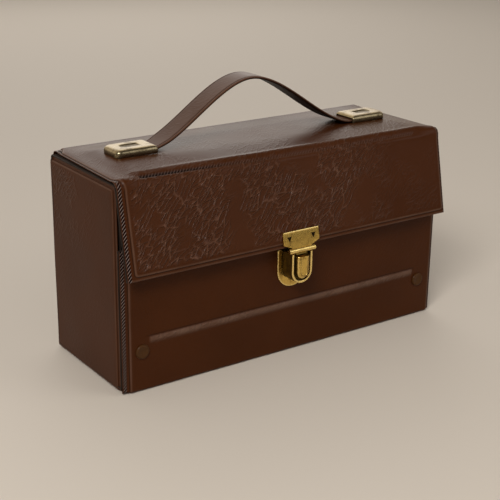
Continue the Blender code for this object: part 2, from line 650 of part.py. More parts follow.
def hasp(flap):
    """Plate with a rolled bar and a tongue on the flap, and its backing plate."""
    face = Face(FLAP_AXIS, (0, 0, 0))
    outline = [
        (-HASP_HALF_WIDTH, -HASP_TOP),
        (-HASP_HALF_WIDTH, -HASP_SHOULDER),
        (-HASP_NECK_HALF_WIDTH, -HASP_NECK),
        (-HASP_NECK_HALF_WIDTH, -HASP_BAR),
        (HASP_NECK_HALF_WIDTH, -HASP_BAR),
        (HASP_NECK_HALF_WIDTH, -HASP_NECK),
        (HASP_HALF_WIDTH, -HASP_SHOULDER),
        (HASP_HALF_WIDTH, -HASP_TOP),
    ]
    plate = outline_solid("hasp_plate", outline, HASP_PLATE, BRASS)
    hold(plate, FLAP_AXIS, (0, 0, HASP_MIDDLE))
    bar_outline = arc((0, 0), HASP_BAR_RADIUS, 0, 2 * math.pi, 2 * ROUND_STEPS)[:-1]
    bar = as_tool(outline_solid("hasp_bar", bar_outline, HASP_BAR_LENGTH, BRASS))
    boolean(plate, hold(bar, FLAP_AXIS, (0, -HASP_BAR, HASP_MIDDLE), ACROSS_LENGTH), "UNION")
    tongue_low = (-TONGUE_HALF_WIDTH, -HASP_TIP, -TONGUE_SINK)
    tongue_high = (TONGUE_HALF_WIDTH, -HASP_BAR + HASP_BAR_RADIUS / 2, -TONGUE_SINK + HASP_PLATE)
    tongue = as_tool(block("hasp_tongue", tongue_low, tongue_high, BRASS))
    boolean(plate, hold(tongue, FLAP_AXIS), "UNION")
    backing_low = (-HASP_HALF_WIDTH, -PRONG_HOLE_TOP - PRONG_HOLE_HEIGHT)
    backing_high = (HASP_HALF_WIDTH, -PRONG_HOLE_TOP + PRONG_THICKNESS + BACKING_MARGIN)
    backing = backing_plate("hasp_backing", face, backing_low, backing_high)
    for name, x in (("left", -PRONG_HOLE_X), ("right", PRONG_HOLE_X)):
        triangle = [
            (x - PRONG_HOLE_WIDTH / 2, -PRONG_HOLE_TOP),
            (x, -PRONG_HOLE_TOP - PRONG_HOLE_HEIGHT),
            (x + PRONG_HOLE_WIDTH / 2, -PRONG_HOLE_TOP),
        ]
        hole = as_tool(outline_solid(f"hasp_hole_{name}", triangle, 2 * HASP_PLATE, BRASS))
        boolean(plate, hold(hole, FLAP_AXIS, (0, 0, HASP_MIDDLE)), "DIFFERENCE")
        size = (PRONG_WIDTH, PRONG_THICKNESS)
        prong_y = -PRONG_HOLE_TOP + PRONG_THICKNESS
        prong(f"hasp_prong_{name}", face, x, prong_y, size, HASP_MIDDLE, flap, plate, backing)


def handle(lid):
    """Strap, end caps, backing plates and the stops that slide inside the caps."""
    end_height = STRAP_LIFT + STRAP_THICKNESS / 2
    steps = 40
    upper = []
    lower = []
    for step in range(steps + 1):
        x = STRAP_HALF_SPAN * (2 * step / steps - 1)
        turn = math.pi * x / STRAP_HALF_SPAN
        z = end_height + STRAP_RISE * (1 + math.cos(turn)) / 2
        slope = -STRAP_RISE * math.pi / STRAP_HALF_SPAN * math.sin(turn) / 2
        normal = Vector((-slope, 1)).normalized() * (STRAP_THICKNESS / 2)
        upper.append((x + normal.x, z + normal.y))
        lower.append((x - normal.x, z - normal.y))
    under = end_height - STRAP_THICKNESS / 2
    over = end_height + STRAP_THICKNESS / 2
    left_end = [(-STRAP_HALF_LENGTH, under), (-STRAP_HALF_LENGTH, over)]
    right_end = [(STRAP_HALF_LENGTH, over), (STRAP_HALF_LENGTH, under)]
    outline = left_end + upper + right_end + lower[::-1]
    strap = outline_solid("handle_strap", outline, STRAP_WIDTH, BROWN_VINYL)
    hold(smooth(strap), HANDLE_AXIS, (0, 0, 0), FACING_FRONT)
    for name, side in (("left", -1), ("right", 1)):
        turned_out = (0, 0, 0 if side > 0 else math.pi)
        face = Face(LID_AXIS, (side * CAP_X, -BACK_Y, 0), turned_out)
        handle_end(name, face, lid)
        stop_start = STRAP_HALF_LENGTH + GAP - CAP_X
        stop_half = STRAP_WIDTH / 2 + GAP
        low = (stop_start, -stop_half, end_height - STRAP_THICKNESS / 2 - STOP_OVERHANG)
        high = (stop_start + STOP_LENGTH, stop_half, end_height + STRAP_THICKNESS / 2 + STOP_OVERHANG)
        stop = block(f"strap_stop_{name}", low, high, STEEL)
        hold(stop, LID_AXIS, face.origin, face.rotation)


def handle_end(name, face, lid):
    """One end cap, open below and at its mouth, clenched through the lid to a backing plate."""
    half_length = CAP_LENGTH / 2
    half_width = CAP_WIDTH / 2
    top = GAP + CAP_HEIGHT
    cap_low = (-half_length, -half_width, GAP)
    cap = block(f"handle_cap_{name}", cap_low, (half_length, half_width, top), PALE_BRASS, CAP_ROUND, "all")
    hold(smooth(cap), face.parent_axis, face.origin, face.rotation)
    hollow_low = (-half_length + CAP_WALL, -half_width + CAP_WALL, -GAP)
    hollow_high = (half_length - CAP_WALL, half_width - CAP_WALL, top - CAP_ROOF)
    mouth_half = STRAP_WIDTH / 2 + GAP
    mouth_low = (-half_length - CAP_WALL, -mouth_half, -GAP)
    mouth_top = STRAP_LIFT + STRAP_THICKNESS + CAP_MOUTH_CLEARANCE
    mouth_high = (-half_length + 2 * CAP_WALL, mouth_half, mouth_top)
    recess_outline = [(CAP_RECESS_LENGTH / 2 * math.cos(a), CAP_RECESS_WIDTH / 2 * math.sin(a))
                      for a in (2 * math.pi * step / 24 for step in range(24))]
    cuts = [
        block(f"cap_hollow_{name}", hollow_low, hollow_high, PALE_BRASS),
        block(f"cap_mouth_{name}", mouth_low, mouth_high, PALE_BRASS),
    ]
    for cut in cuts:
        boolean(cap, as_tool(hold(cut, face.parent_axis, face.origin, face.rotation)), "DIFFERENCE")
    recess = as_tool(outline_solid(f"cap_recess_{name}", recess_outline, 2 * CAP_RECESS, PALE_BRASS))
    recess_place = Vector(face.origin) + Vector((0, 0, top))
    boolean(cap, hold(recess, face.parent_axis, recess_place, face.rotation), "DIFFERENCE")
    prong_y = half_width - CAP_WALL / 2
    prong_x_reach = PRONG_WIDTH / 2 + BACKING_MARGIN
    backing_low = (CAP_PRONG_X - prong_x_reach, -prong_y - BACKING_MARGIN)
    backing_high = (CAP_PRONG_X + prong_x_reach, prong_y + BACKING_MARGIN)
    backing = backing_plate(f"handle_backing_{name}", face, backing_low, backing_high)
    for number, y in enumerate((-prong_y, prong_y), start=1):
        size = (PRONG_WIDTH, CAP_WALL)
        tab = f"cap_prong_{name}_{number}"
        prong(tab, face, CAP_PRONG_X, y, size, GAP + CAP_WALL, lid, cap, backing)


front_layers = case_panels()
lid_layers = lid_panels()
flap_layers = flap_panels()
tray_front_plate = tray_and_dividers()
tray_rivets(front_layers, tray_front_plate)
lock(front_layers)
hasp(flap_layers)
handle(lid_layers)
bpy.context.view_layer.update()
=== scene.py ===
# %% [markdown]
# # A brown vinyl case for tape cartridges
#
# The real object is a slim carrying case: one long strip of grained vinyl is welded over boards and runs down the
# front, under the case, up the back, over the lid and down the flap. Two padded ends close it, a brass tuck lock
# holds the flap, and a strap handle sits in two brass caps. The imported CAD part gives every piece's place and
# motion. Each cell below makes one visible piece or one finish around it.

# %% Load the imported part
import json
import math

import bmesh
import bpy
import numpy as np
from mathutils import Matrix, Vector


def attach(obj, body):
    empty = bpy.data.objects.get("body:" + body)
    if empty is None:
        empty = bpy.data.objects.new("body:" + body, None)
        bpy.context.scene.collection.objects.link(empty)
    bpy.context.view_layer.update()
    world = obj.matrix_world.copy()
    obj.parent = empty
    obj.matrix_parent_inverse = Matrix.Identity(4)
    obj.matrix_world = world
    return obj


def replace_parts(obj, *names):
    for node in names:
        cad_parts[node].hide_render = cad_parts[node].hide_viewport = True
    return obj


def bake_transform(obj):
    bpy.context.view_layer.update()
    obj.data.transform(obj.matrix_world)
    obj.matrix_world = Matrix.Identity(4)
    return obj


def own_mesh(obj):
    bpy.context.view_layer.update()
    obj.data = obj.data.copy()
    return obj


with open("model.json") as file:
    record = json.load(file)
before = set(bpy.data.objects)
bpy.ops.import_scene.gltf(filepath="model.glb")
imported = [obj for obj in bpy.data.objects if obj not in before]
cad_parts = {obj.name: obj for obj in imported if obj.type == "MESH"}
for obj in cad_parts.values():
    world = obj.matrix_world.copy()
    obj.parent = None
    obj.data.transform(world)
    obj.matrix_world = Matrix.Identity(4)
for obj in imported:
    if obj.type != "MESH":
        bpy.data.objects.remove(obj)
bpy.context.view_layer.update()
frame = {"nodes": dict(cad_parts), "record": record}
NODES = frame["nodes"]
MM = 0.001

# %% [markdown]
# ## Camera
#
# The photograph was taken from the left front, a little above the lid, with a long lens. The camera's place, its
# pan and its tilt come from fitting the case's corners to the picture. A camera could be aimed with a constraint,
# but a plain matrix keeps it free of anything that the other views would have to undo.

# %% Camera
CAMERA_PLACE = Vector((-547.9, -778.7, 413.0)) * MM
PAN, TILT, ROLL = 0.612, 0.3438, 0.0125
FOCAL_LENGTH, NEAREST_SEEN = 84.38, 0.01

forward = Vector((math.sin(PAN) * math.cos(TILT), math.cos(PAN) * math.cos(TILT), -math.sin(TILT)))
level = Vector((math.cos(PAN), -math.sin(PAN), 0))
right = math.cos(ROLL) * level + math.sin(ROLL) * level.cross(forward)
above = right.cross(forward)
camera = bpy.data.objects.new("camera", bpy.data.cameras.new("camera"))
bpy.context.scene.collection.objects.link(camera)
camera.matrix_world = Matrix((right, above, -forward)).transposed().to_4x4()
camera.location = CAMERA_PLACE
camera.data.lens = FOCAL_LENGTH
camera.data.clip_start = NEAREST_SEEN
bpy.context.scene.camera = camera
bpy.context.scene.view_settings.view_transform = "Standard"
print("camera looks along", [round(value, 3) for value in forward])

# %% [markdown]
# ## Shader maths
#
# A finish is a small network of nodes. Wiring each node by hand hides the idea, so one class wraps a socket and
# lets Python's own operators add the Math nodes. Every other node comes from its one method, which sets the node's
# settings first and then its sockets.

# %% Sockets that can be added and multiplied
class Wire:
    """An output socket of a node; maths on it adds Math nodes."""

    def __init__(self, tree, socket=None):
        self.tree = tree
        self.socket = socket

    def node(self, kind, settings=None, sockets=None, out=0):
        """A new node, with its settings set first and then the values or links of its sockets."""
        made = self.tree.nodes.new("ShaderNode" + kind)
        for name, value in (settings or {}).items():
            setattr(made, name, value)
        for name, value in (sockets or {}).items():
            self.feed(made.inputs[name], value)
        return Wire(self.tree, made.outputs[out])

    def feed(self, socket, value):
        """Links a wire to a socket, or sets a plain value on it."""
        if isinstance(value, Wire):
            self.tree.links.new(value.socket, socket)
        else:
            socket.default_value = value

    def maths(self, operation, first, second=0.0):
        return self.node("Math", {"operation": operation}, {0: first, 1: second})

    def __add__(self, other):
        return self.maths("ADD", self, other)

    def __sub__(self, other):
        return self.maths("SUBTRACT", self, other)

    def __rsub__(self, other):
        return self.maths("SUBTRACT", other, self)

    def __mul__(self, other):
        return self.maths("MULTIPLY", self, other)

    def __pow__(self, other):
        return self.maths("POWER", self, other)

    __radd__ = __add__
    __rmul__ = __mul__

    def ease(self, low, high):
        """0 below low and 1 above high, with a smooth step between them."""
        ends = {"Value": self, "From Min": low, "From Max": high}
        return self.node("MapRange", {"interpolation_type": "SMOOTHSTEP"}, ends)

    def mix(self, first, second):
        """The first colour where this wire is 0, and the second where it is 1."""
        return self.node("Mix", {"data_type": "RGBA"}, {0: self, 6: first, 7: second}, out=2)


def colour(red, green, blue):
    return (red, green, blue, 1.0)


def scaled(tone, factor):
    """A colour made lighter or darker."""
    return [value * factor for value in tone[:3]] + [1.0]


def new_finish(name):
    """A material with a wire to build on and its Principled shader."""
    made = bpy.data.materials.new(name)
    made.use_nodes = True
    return made, Wire(made.node_tree), made.node_tree.nodes["Principled BSDF"]


def set_shader(wire, shader, **sockets):
    for name, value in sockets.items():
        wire.feed(shader.inputs[name.replace("_", " ")], value)


print("one class for shader maths:", Wire.__name__)

# %% [markdown]
# ## Floor and light
#
# The case stands on a plain pale floor under soft studio light. A broad lamp from the left front, a weaker one from
# the right, one behind and an even sky give colours about as they are written. Where the camera or a reflection
# sees the sky, it is pale behind the case, which gives the lid its grey sheen, and dim in front.

# %% Floor
FLOOR_REACH, FLOOR_DROP = 8.0, -0.2 * MM

floor_finish, wire, shader = new_finish("pale_floor")
cloud = wire.node("TexNoise", None, {"Scale": 3.0, "Detail": 2.0})
floor_tone = cloud.mix(colour(0.61, 0.53, 0.44), colour(0.65, 0.57, 0.48))
set_shader(wire, shader, Base_Color=floor_tone, Roughness=0.75)
floor_corners = [(x * FLOOR_REACH, y * FLOOR_REACH, FLOOR_DROP) for x, y in ((-1, -1), (1, -1), (1, 1), (-1, 1))]
floor_mesh = bpy.data.meshes.new("floor")
floor_mesh.from_pydata(floor_corners, [], [(0, 1, 2, 3)])
floor = bpy.data.objects.new("floor", floor_mesh)
floor.data.materials.append(floor_finish)
bpy.context.scene.collection.objects.link(floor)
print("floor:", 2 * FLOOR_REACH, "m wide")

# %% Sky and lamps
SKY_BEHIND, SKY_IN_FRONT, SKY_TURN = colour(1.0, 0.88, 0.74), colour(0.08, 0.07, 0.06), (-0.15, 0.55)
SOFT_SKY, SOFT_STRENGTH = colour(1.0, 0.98, 0.95), 0.34
LAMP_AIM = Vector((0, 0, 0.09))

world = bpy.data.worlds.new("studio")
world.use_nodes = True
bpy.context.scene.world = world
wire = Wire(world.node_tree)
ahead = wire.node("SeparateXYZ", None, {"Vector": wire.node("TexCoord", None, None, "Generated")}, "Y")
mirrored = sum((wire.node("LightPath", None, None, ray) for ray in ("Is Glossy Ray", "Is Transmission Ray")),
               wire.node("LightPath", None, None, "Is Camera Ray"))
wall = ahead.ease(*SKY_TURN).mix(SKY_IN_FRONT, SKY_BEHIND)
seen = wire.node("Background", None, {"Color": wall, "Strength": 1.0})
soft = wire.node("Background", None, {"Color": SOFT_SKY, "Strength": SOFT_STRENGTH})
both = wire.node("MixShader", None, {0: mirrored, 1: soft, 2: seen})
wire.feed(world.node_tree.nodes["World Output"].inputs["Surface"], both)


def lamp(name, place, power, size):
    """A square lamp that looks at the middle of the case."""
    made = bpy.data.objects.new(name, bpy.data.lights.new(name, "AREA"))
    made.data.energy, made.data.size = power, size
    made.location = place
    made.rotation_euler = (LAMP_AIM - Vector(place)).to_track_quat("-Z", "Y").to_euler()
    bpy.context.scene.collection.objects.link(made)


lamp("key", (-1.1, -0.9, 1.3), 21.0, 0.6)
lamp("fill", (1.0, -1.2, 0.9), 6.0, 1.2)
lamp("back", (0.7, 1.7, 1.1), 8.0, 1.6)

# %% [markdown]
# ## Brown vinyl
#
# The covering is embossed vinyl. On the flap and the lid it carries a net of fine raised wrinkles, in patches and
# mostly along one diagonal, with a painted highlight on their crests. The front wall and the ends are nearly smooth.
# The pattern is laid out in the flat cut of the vinyl, a UV map in metres, so it doesn't stretch round a fold. Each
# sheet also carries up to four numbers per point: how wrinkled it is, how much wear and painted sheen it has, how
# much painted shade lies in its grooves and creases and on the strap's underside, and how marked by the weld it is
# there. The rivets' lacquer is the same recipe on a slightly browner ground.

# %% Vinyl finish
# The crest colour is a painted highlight for the wrinkles, the rubbed colour is wear with a painted sheen, and the pale
# bead colour is wear with a painted highlight.
CREST, RUBBED_AND_SHEEN, BEAD_WEAR_AND_HIGHLIGHT = colour(0.105, 0.046, 0.026), colour(0.19, 0.115, 0.08), colour(0.23, 0.165, 0.14)
LONG_FOLDS = {"turn": 0.65, "stretch": 4.6, "scale": 255.0, "width": 0.16}
CROSS_FOLDS = {"turn": 1.15, "stretch": 3.6, "scale": 285.0, "width": 0.18}
LONG_SHOWS, CROSS_SHOWS, PATCH_SHOWS = (0.34, 0.46), (0.62, 0.50), (0.30, 0.52)
BREAK_SCALE, PATCH_SCALE, HAZE_SCALE, PORE_SCALE = 42.0, 26.0, 14.0, 1100.0
DRIFT_SCALE, DRIFT = 60.0, 0.0045
WRINKLE_RISE, PORE_DEPTH, MARK_PITCH = 0.8 * MM, 0.12 * MM, 2.8 * MM
VINYL_SHEEN = 0.09


def vinyl_finish(name, ground, gloss):
    """Grained vinyl on its ground colour, with painted highlights on its wrinkles' crests, wear and a painted sheen on
    its edges and its welt, pale weld beads with painted shade between them, and painted shade in its grooves.
    """
    made, wire, shader = new_finish(name)
    flat = wire.node("UVMap", {"uv_map": "cut"})
    wrinkled, worn, pressed, marked = [wire.node("Attribute", {"attribute_name": mark}, None, "Fac")
                                       for mark in ("wrinkled", "worn", "pressed", "marked")]

    def noise(scale, detail, out=0):
        sockets = {"Vector": flat, "Scale": scale, "Detail": detail}
        return wire.node("TexNoise", {"noise_dimensions": "2D"}, sockets, out)

    drift = wire.node("VectorMath", {"operation": "MULTIPLY_ADD"},
                      {0: noise(DRIFT_SCALE, 3.0, "Color"), 1: (DRIFT, DRIFT, 0.0), 2: flat})

    def folds(turn, stretch, scale, width):
        """Raised lines that mostly run one way: the edges of a stretched and bent net of cells."""
        run = wire.node("Mapping", {"vector_type": "TEXTURE"},
                        {"Vector": drift, "Rotation": (0, 0, turn), "Scale": (1.0, stretch, 1.0)})
        edge = wire.node("TexVoronoi", {"feature": "DISTANCE_TO_EDGE", "voronoi_dimensions": "2D"},
                         {"Vector": run, "Scale": scale})
        return 1.0 - edge.ease(0.0, width)

    broken = noise(BREAK_SCALE, 2.0)
    wrinkle = (folds(**LONG_FOLDS) * broken.ease(*LONG_SHOWS)
               + folds(**CROSS_FOLDS) * broken.ease(*CROSS_SHOWS) * 0.9)
    wrinkle = wrinkle * noise(PATCH_SCALE, 2.0).ease(*PATCH_SHOWS) * wrinkled

    u, v = [wire.node("SeparateXYZ", None, {"Vector": flat}, axis) for axis in "XY"]
    bead = wire.maths("SINE", (u + v) * (2 * math.pi / MARK_PITCH)).ease(0.25, 0.95) * marked
    pores = wire.node("TexVoronoi", {"feature": "SMOOTH_F1", "voronoi_dimensions": "2D"},
                      {"Vector": flat, "Scale": PORE_SCALE, "Smoothness": 0.6})
    haze = noise(HAZE_SCALE, 3.0)
    plain = haze.ease(0.3, 0.7).mix(ground, scaled(ground, 1.15))
    # Crests, and wrinkled places as a whole, are made paler toward the crest colour: a painted highlight.
    base = (wrinkle**2 * 0.6 + wrinkled * 0.12).mix(plain, CREST)
    # Worn places turn toward the rubbed colour: real wear, plus a painted sheen on the pad edges, the welt and the
    # lips.
    rub_and_sheen_amount = worn * (0.20 + broken * 0.50)
    # Weld beads turn to the pale bead colour, which is wear with a painted highlight; the troughs between them get
    # painted shade.
    pale = bead.mix(rub_and_sheen_amount.mix(base, RUBBED_AND_SHEEN), BEAD_WEAR_AND_HIGHLIGHT)
    # Painted shade: grooves, creases, the strap's underside and the troughs between weld beads are mixed toward a
    # near-black copy of the ground.
    shade = (pressed * 0.85 + (marked - bead)).mix(pale, scaled(ground, 0.12))
    rough = haze * 0.10 + (gloss - 0.05) + wrinkle * -0.06 + pressed * 0.15
    grain = wire.node("Bump", None, {"Strength": 0.22, "Distance": PORE_DEPTH, "Height": pores})
    relief = wire.node("Bump", None, {"Strength": 1.0, "Distance": WRINKLE_RISE,
                                      "Height": wrinkle + bead * 0.5, "Normal": grain})
    set_shader(wire, shader, Base_Color=shade, Roughness=rough, Normal=relief, Specular_IOR_Level=VINYL_SHEEN)
    return made


VINYL = vinyl_finish("brown_vinyl", colour(0.044, 0.0115, 0.0022), 0.34)
RIVET_LACQUER = vinyl_finish("rivet_lacquer", colour(0.052, 0.0215, 0.0068), 0.28)
print("vinyl nodes:", len(VINYL.node_tree.nodes))

# %% [markdown]
# ## Metal, plastic and paper finishes
#
# The lock is yellow brass with fine scratches, and the handle's caps are a paler, rubbed brass. Their colour changes
# in soft blotches and their roughness in fine scratches. Each point of a metal piece can also be turned darker, which
# is painted shade on walls and in recesses and real grime in the caps' ovals, or paler, which is a painted highlight
# on rims and edges, partly their polish. The inside is black moulded plastic and a dark leatherette lining, and the
# boards' cut edges, which show only as thin lines, are dark too.

# %% Other finishes
GRIME_AND_SHADE = colour(0.018, 0.011, 0.005)
SCRATCH_SCALE, SCRATCH_DEPTH = 2600.0, 0.05 * MM
PAPER_BLOTCH, MATT_SHEEN = 40.0, 0.1


def metal_finish(name, clean, tarnish, rough, blotch):
    """A metal tarnished in soft blotches; above 0 its points get grime and painted shade, below 0 polish and a painted
    highlight.
    """
    made, wire, shader = new_finish(name)
    place = wire.node("TexCoord", None, None, "Object")
    blot = wire.node("TexNoise", None, {"Vector": place, "Scale": blotch, "Detail": 4.0, "Roughness": 0.65})
    fine = wire.node("TexNoise", None, {"Vector": place, "Scale": SCRATCH_SCALE, "Detail": 2.0})
    shade_shine_and_grime = wire.node("Attribute", {"attribute_name": "shade_shine_and_grime"}, None, "Fac")
    # Above 0 a point turns toward grime-brown: painted shade, with real grime only in the caps' ovals. Below 0 it turns
    # paler: a painted highlight, partly polish.
    grime_shade_mask, polish_and_highlight = wire.maths("MAXIMUM", shade_shine_and_grime, 0.0), wire.maths("MAXIMUM", shade_shine_and_grime * -1.0, 0.0)
    mask = blot.ease(0.45, 0.75)
    worn = grime_shade_mask.mix(mask.mix(clean, tarnish), GRIME_AND_SHADE)
    highlight_colour = [min(1.0, 0.15 + 1.35 * value) for value in clean[:3]] + [1.0]
    bump = wire.node("Bump", None, {"Strength": 0.12, "Distance": SCRATCH_DEPTH, "Height": fine})
    set_shader(wire, shader, Base_Color=polish_and_highlight.mix(worn, highlight_colour), Metallic=1.0, Normal=bump,
               Roughness=mask * 0.14 + grime_shade_mask * 0.2 + fine * 0.12 + (rough - 0.06))
    return made


def matt_finish(name, first, second, rough, scale, depth):
    """A matt moulded or paper surface with a fine pebble."""
    made, wire, shader = new_finish(name)
    place = wire.node("TexCoord", None, None, "Object")
    pebble = wire.node("TexVoronoi", {"feature": "SMOOTH_F1"}, {"Vector": place, "Scale": scale, "Smoothness": 0.7})
    blot = wire.node("TexNoise", None, {"Vector": place, "Scale": PAPER_BLOTCH, "Detail": 3.0})
    bump = wire.node("Bump", None, {"Strength": 0.4, "Distance": depth, "Height": pebble})
    set_shader(wire, shader, Base_Color=blot.ease(0.3, 0.7).mix(first, second),
               Roughness=blot * 0.1 + (rough - 0.05), Normal=bump, Specular_IOR_Level=MATT_SHEEN)
    return made


BRASS = metal_finish("lock_brass", colour(0.68, 0.45, 0.11), colour(0.30, 0.18, 0.045), 0.24, 260.0)
PALE_BRASS = metal_finish("cap_brass", colour(0.28, 0.225, 0.132), colour(0.11, 0.08, 0.043), 0.28, 190.0)
STEEL = metal_finish("spring_steel", colour(0.50, 0.50, 0.50), colour(0.30, 0.29, 0.27), 0.36, 120.0)
TRAY_PLASTIC = matt_finish("tray_plastic", colour(0.022, 0.020, 0.019), colour(0.032, 0.030, 0.028), 0.48, 1500.0,
                           0.1 * MM)
LINING = matt_finish("dark_lining", colour(0.018, 0.012, 0.009), colour(0.034, 0.023, 0.017), 0.66, 700.0, 0.25 * MM)
BOARD = matt_finish("grey_board", colour(0.030, 0.023, 0.017), colour(0.046, 0.036, 0.027), 0.9, 500.0, 0.1 * MM)
print("finishes:", [made.name for made in bpy.data.materials])

# %% [markdown]
# ## Sheets of vinyl
#
# A welded vinyl cover is a thin sheet with an inside and an outside, so it could be a plane with a Solidify
# modifier. Here both faces are made as grids of points: that gives full control of the padded face, the thin welded
# edge around it and the rounded cut edge, and the mesh is closed. Lengths in these cells are in millimetres until
# the points are made.

# %% Closed sheets
SHARP_ANGLE = math.radians(42)


def dress(mesh, finish):
    """Gives a mesh one finish, smooth except at its real edges."""
    mesh.materials.clear()
    mesh.materials.append(finish)
    mesh.shade_smooth()
    mesh.set_sharp_from_angle(angle=SHARP_ANGLE)


def add_piece(name, mesh, finish):
    """Puts a mesh in the scene, with all its faces turned outwards."""
    shape = bmesh.new()
    shape.from_mesh(mesh)
    bmesh.ops.recalc_face_normals(shape, faces=shape.faces)
    shape.to_mesh(mesh)
    shape.free()
    dress(mesh, finish)
    piece = bpy.data.objects.new(name, mesh)
    bpy.context.scene.collection.objects.link(piece)
    return piece


def sheet(name, outer, inner, cut, marks, underside_shade=0.0):
    """A closed vinyl sheet between two grids of points, with its flat cut as UVs and its marks as point values; its
    underside can be given painted shade.
    """
    top = np.arange(outer[:, :, 0].size).reshape(outer.shape[:2])
    grid = np.stack([top[:-1, :-1], top[:-1, 1:], top[1:, 1:], top[1:, :-1]], -1).reshape(-1, 4)
    rim = np.concatenate([top[0, :-1], top[:-1, -1], top[-1, :0:-1], top[:0:-1, 0]])
    ahead = np.roll(rim, -1)
    walls = np.stack([ahead, rim, rim + top.size, ahead + top.size], 1)
    faces = np.concatenate([grid, grid[:, [0, 3, 2, 1]] + top.size, walls])
    points = np.concatenate([outer.reshape(-1, 3), inner.reshape(-1, 3)]) * MM
    mesh = bpy.data.meshes.new(name)
    mesh.from_pydata(points.tolist(), [], faces.tolist())
    piece = add_piece(name, mesh, VINYL)
    corners = np.zeros(len(mesh.loops), np.int32)
    mesh.loops.foreach_get("vertex_index", corners)
    flat = np.tile(cut.reshape(-1, 2), (2, 1)) * MM
    mesh.uv_layers.new(name="cut").data.foreach_set("uv", flat[corners].astype(np.float32).ravel())
    for mark, values in marks.items():
        # An underside can be given painted shade; its other marks are 0.
        both = np.concatenate([values.ravel(), np.full(values.size, underside_shade if mark == "pressed" else 0.0)])
        mesh.attributes.new(mark, "FLOAT", "POINT").data.foreach_set("value", both.astype(np.float32))
    print(name, "faces:", len(mesh.polygons))
    return piece


def ease(values, low, high):
    """0 below low and 1 above high, with a smooth step between."""
    t = np.clip((values - low) / (high - low), 0, 1)
    return t * t * (3 - 2 * t)


def fade(values, low, high):
    """1 below low and 0 above high."""
    return 1 - ease(values, low, high)


def bell(values, middle, width):
    """1 at the middle, falling off softly to both sides."""
    return np.exp(-(((values - middle) / width) ** 2))


print("a bell one width from its middle:", round(float(bell(1.0, 0.0, 1.0)), 2))

# %% [markdown]
# ## The long strip
#
# The strip is walked in the YZ plane from the front wall's upper edge, down the front, under the case, up the back,
# over the lid and down the flap, as straight runs and round folds. A point on it is then two numbers, its place
# along the case and its length along the strip, plus a height out of the face. The height holds everything that is
# pressed or padded.

# %% Sizes of the case, in millimetres
END_X, FRONT_Y, BACK_Y, TOP_Z = 159.0, -57.5, 57.5, 172.0
FRONT_TOP = 118.0
FOOT_RADIUS, FOLD_RADIUS = 2.6, 6.0
FLAP_LEAN, FLAP_LENGTH, FLAP_FOLD_Y = math.radians(11.5), 76.0, -55.1
FLAP_SETBACK, FLAP_FOLD_RADIUS = 8.17, 10.0
QUARTER = math.pi / 2


class Strip:
    """The strip's outer line in the YZ plane, walked as straight runs and left-hand bends."""

    def __init__(self, start, heading):
        self.place = np.array(start, float)
        self.heading = heading
        self.parts = []
        self.length = 0.0

    def walk(self, length, radius=None):
        self.parts.append((self.length, self.place.copy(), self.heading, radius))
        self.place, self.heading = self.step(self.parts[-1], length)
        self.length += length
        return self.length

    def step(self, part, length):
        """The place and the heading some way along one part."""
        _, place, heading, radius = part
        if radius is None:
            return place + length * np.array([math.cos(heading), math.sin(heading)]), heading
        turned = heading + length / radius
        left = np.array([-math.sin(heading), math.cos(heading)])
        return place + radius * (left - np.array([-math.sin(turned), math.cos(turned)])), turned

    def at(self, lengths):
        """Places and outward normals at some lengths along the strip."""
        places, normals = [], []
        for length in lengths:
            part = [p for p in self.parts if p[0] <= length + 1e-9][-1]
            place, heading = self.step(part, length - part[0])
            places.append(place)
            normals.append((math.sin(heading), -math.cos(heading)))
        return np.array(places), np.array(normals)


strip = Strip((FRONT_Y, FRONT_TOP), -QUARTER)
FRONT_FOOT = strip.walk(FRONT_TOP - FOOT_RADIUS)
BOTTOM_FRONT = strip.walk(FOOT_RADIUS * QUARTER, FOOT_RADIUS)
BOTTOM_BACK = strip.walk(BACK_Y - FRONT_Y - 2 * FOOT_RADIUS)
BACK_FOOT = strip.walk(FOOT_RADIUS * QUARTER, FOOT_RADIUS)
BACK_TOP = strip.walk(TOP_Z - FOOT_RADIUS - FOLD_RADIUS)
LID_BACK = strip.walk(FOLD_RADIUS * QUARTER, FOLD_RADIUS)
LID_FRONT = strip.walk(BACK_Y - FOLD_RADIUS - FLAP_FOLD_Y - FLAP_SETBACK)
FLAP_TOP = strip.walk(FLAP_FOLD_RADIUS * (QUARTER - FLAP_LEAN), FLAP_FOLD_RADIUS)
STRIP_END = strip.walk(FLAP_LENGTH - FLAP_SETBACK)
print("strip:", round(strip.length, 1), "mm, ends at", strip.place.round(2))

# %% [markdown]
# ## Relief of the strip
#
# The vinyl was pressed by a heated die: a thin flange runs round each padded face, with a row of weld marks in it.
# The flange is narrower at the right end. A welt crosses the front wall where the tray's rim presses from inside,
# and a pressed line with weld marks lies in the flap's fold between two soft ridges. The lid swells up in its middle,
# and is flat under the handle's caps. All of these are real shape, so they are height and not only bump.

# %% Padded faces and their flanges
END_FLANGE, RIGHT_FLANGE, LID_FLANGE, EDGE_FLANGE = 6.0, 2.2, 1.5, 3.0
FLANGE_DROP, VINYL_THICKNESS, THINNEST_VINYL = 1.1, 1.0, 0.2
PAD_ROUND, LID_ROUND, PAD_CORNER, PAD_START = 2.0, 7.0, 3.0, 1.0
SOFT_DROP = 0.6
END_WRAP, END_WRAP_RUN = 3.2, 5
WELD_OUTER, WELD_INNER = (0.3, 0.8), (3.1, 3.7)


def on_lid(s):
    """1 on the lid and 0 elsewhere, with a soft change at its two folds."""
    return ease(s, LID_BACK, LID_BACK + 10) * fade(s, LID_FRONT - 6, FLAP_TOP)


def end_narrowing(s):
    """How much shorter the strip is under the case and up its back, where the ends wrap round onto it."""
    back_to_lid = np.clip((LID_FRONT - s) / (LID_FRONT - LID_BACK), 0, 1)
    return END_WRAP * ease(s, BOTTOM_FRONT, BOTTOM_FRONT + END_WRAP_RUN) * back_to_lid


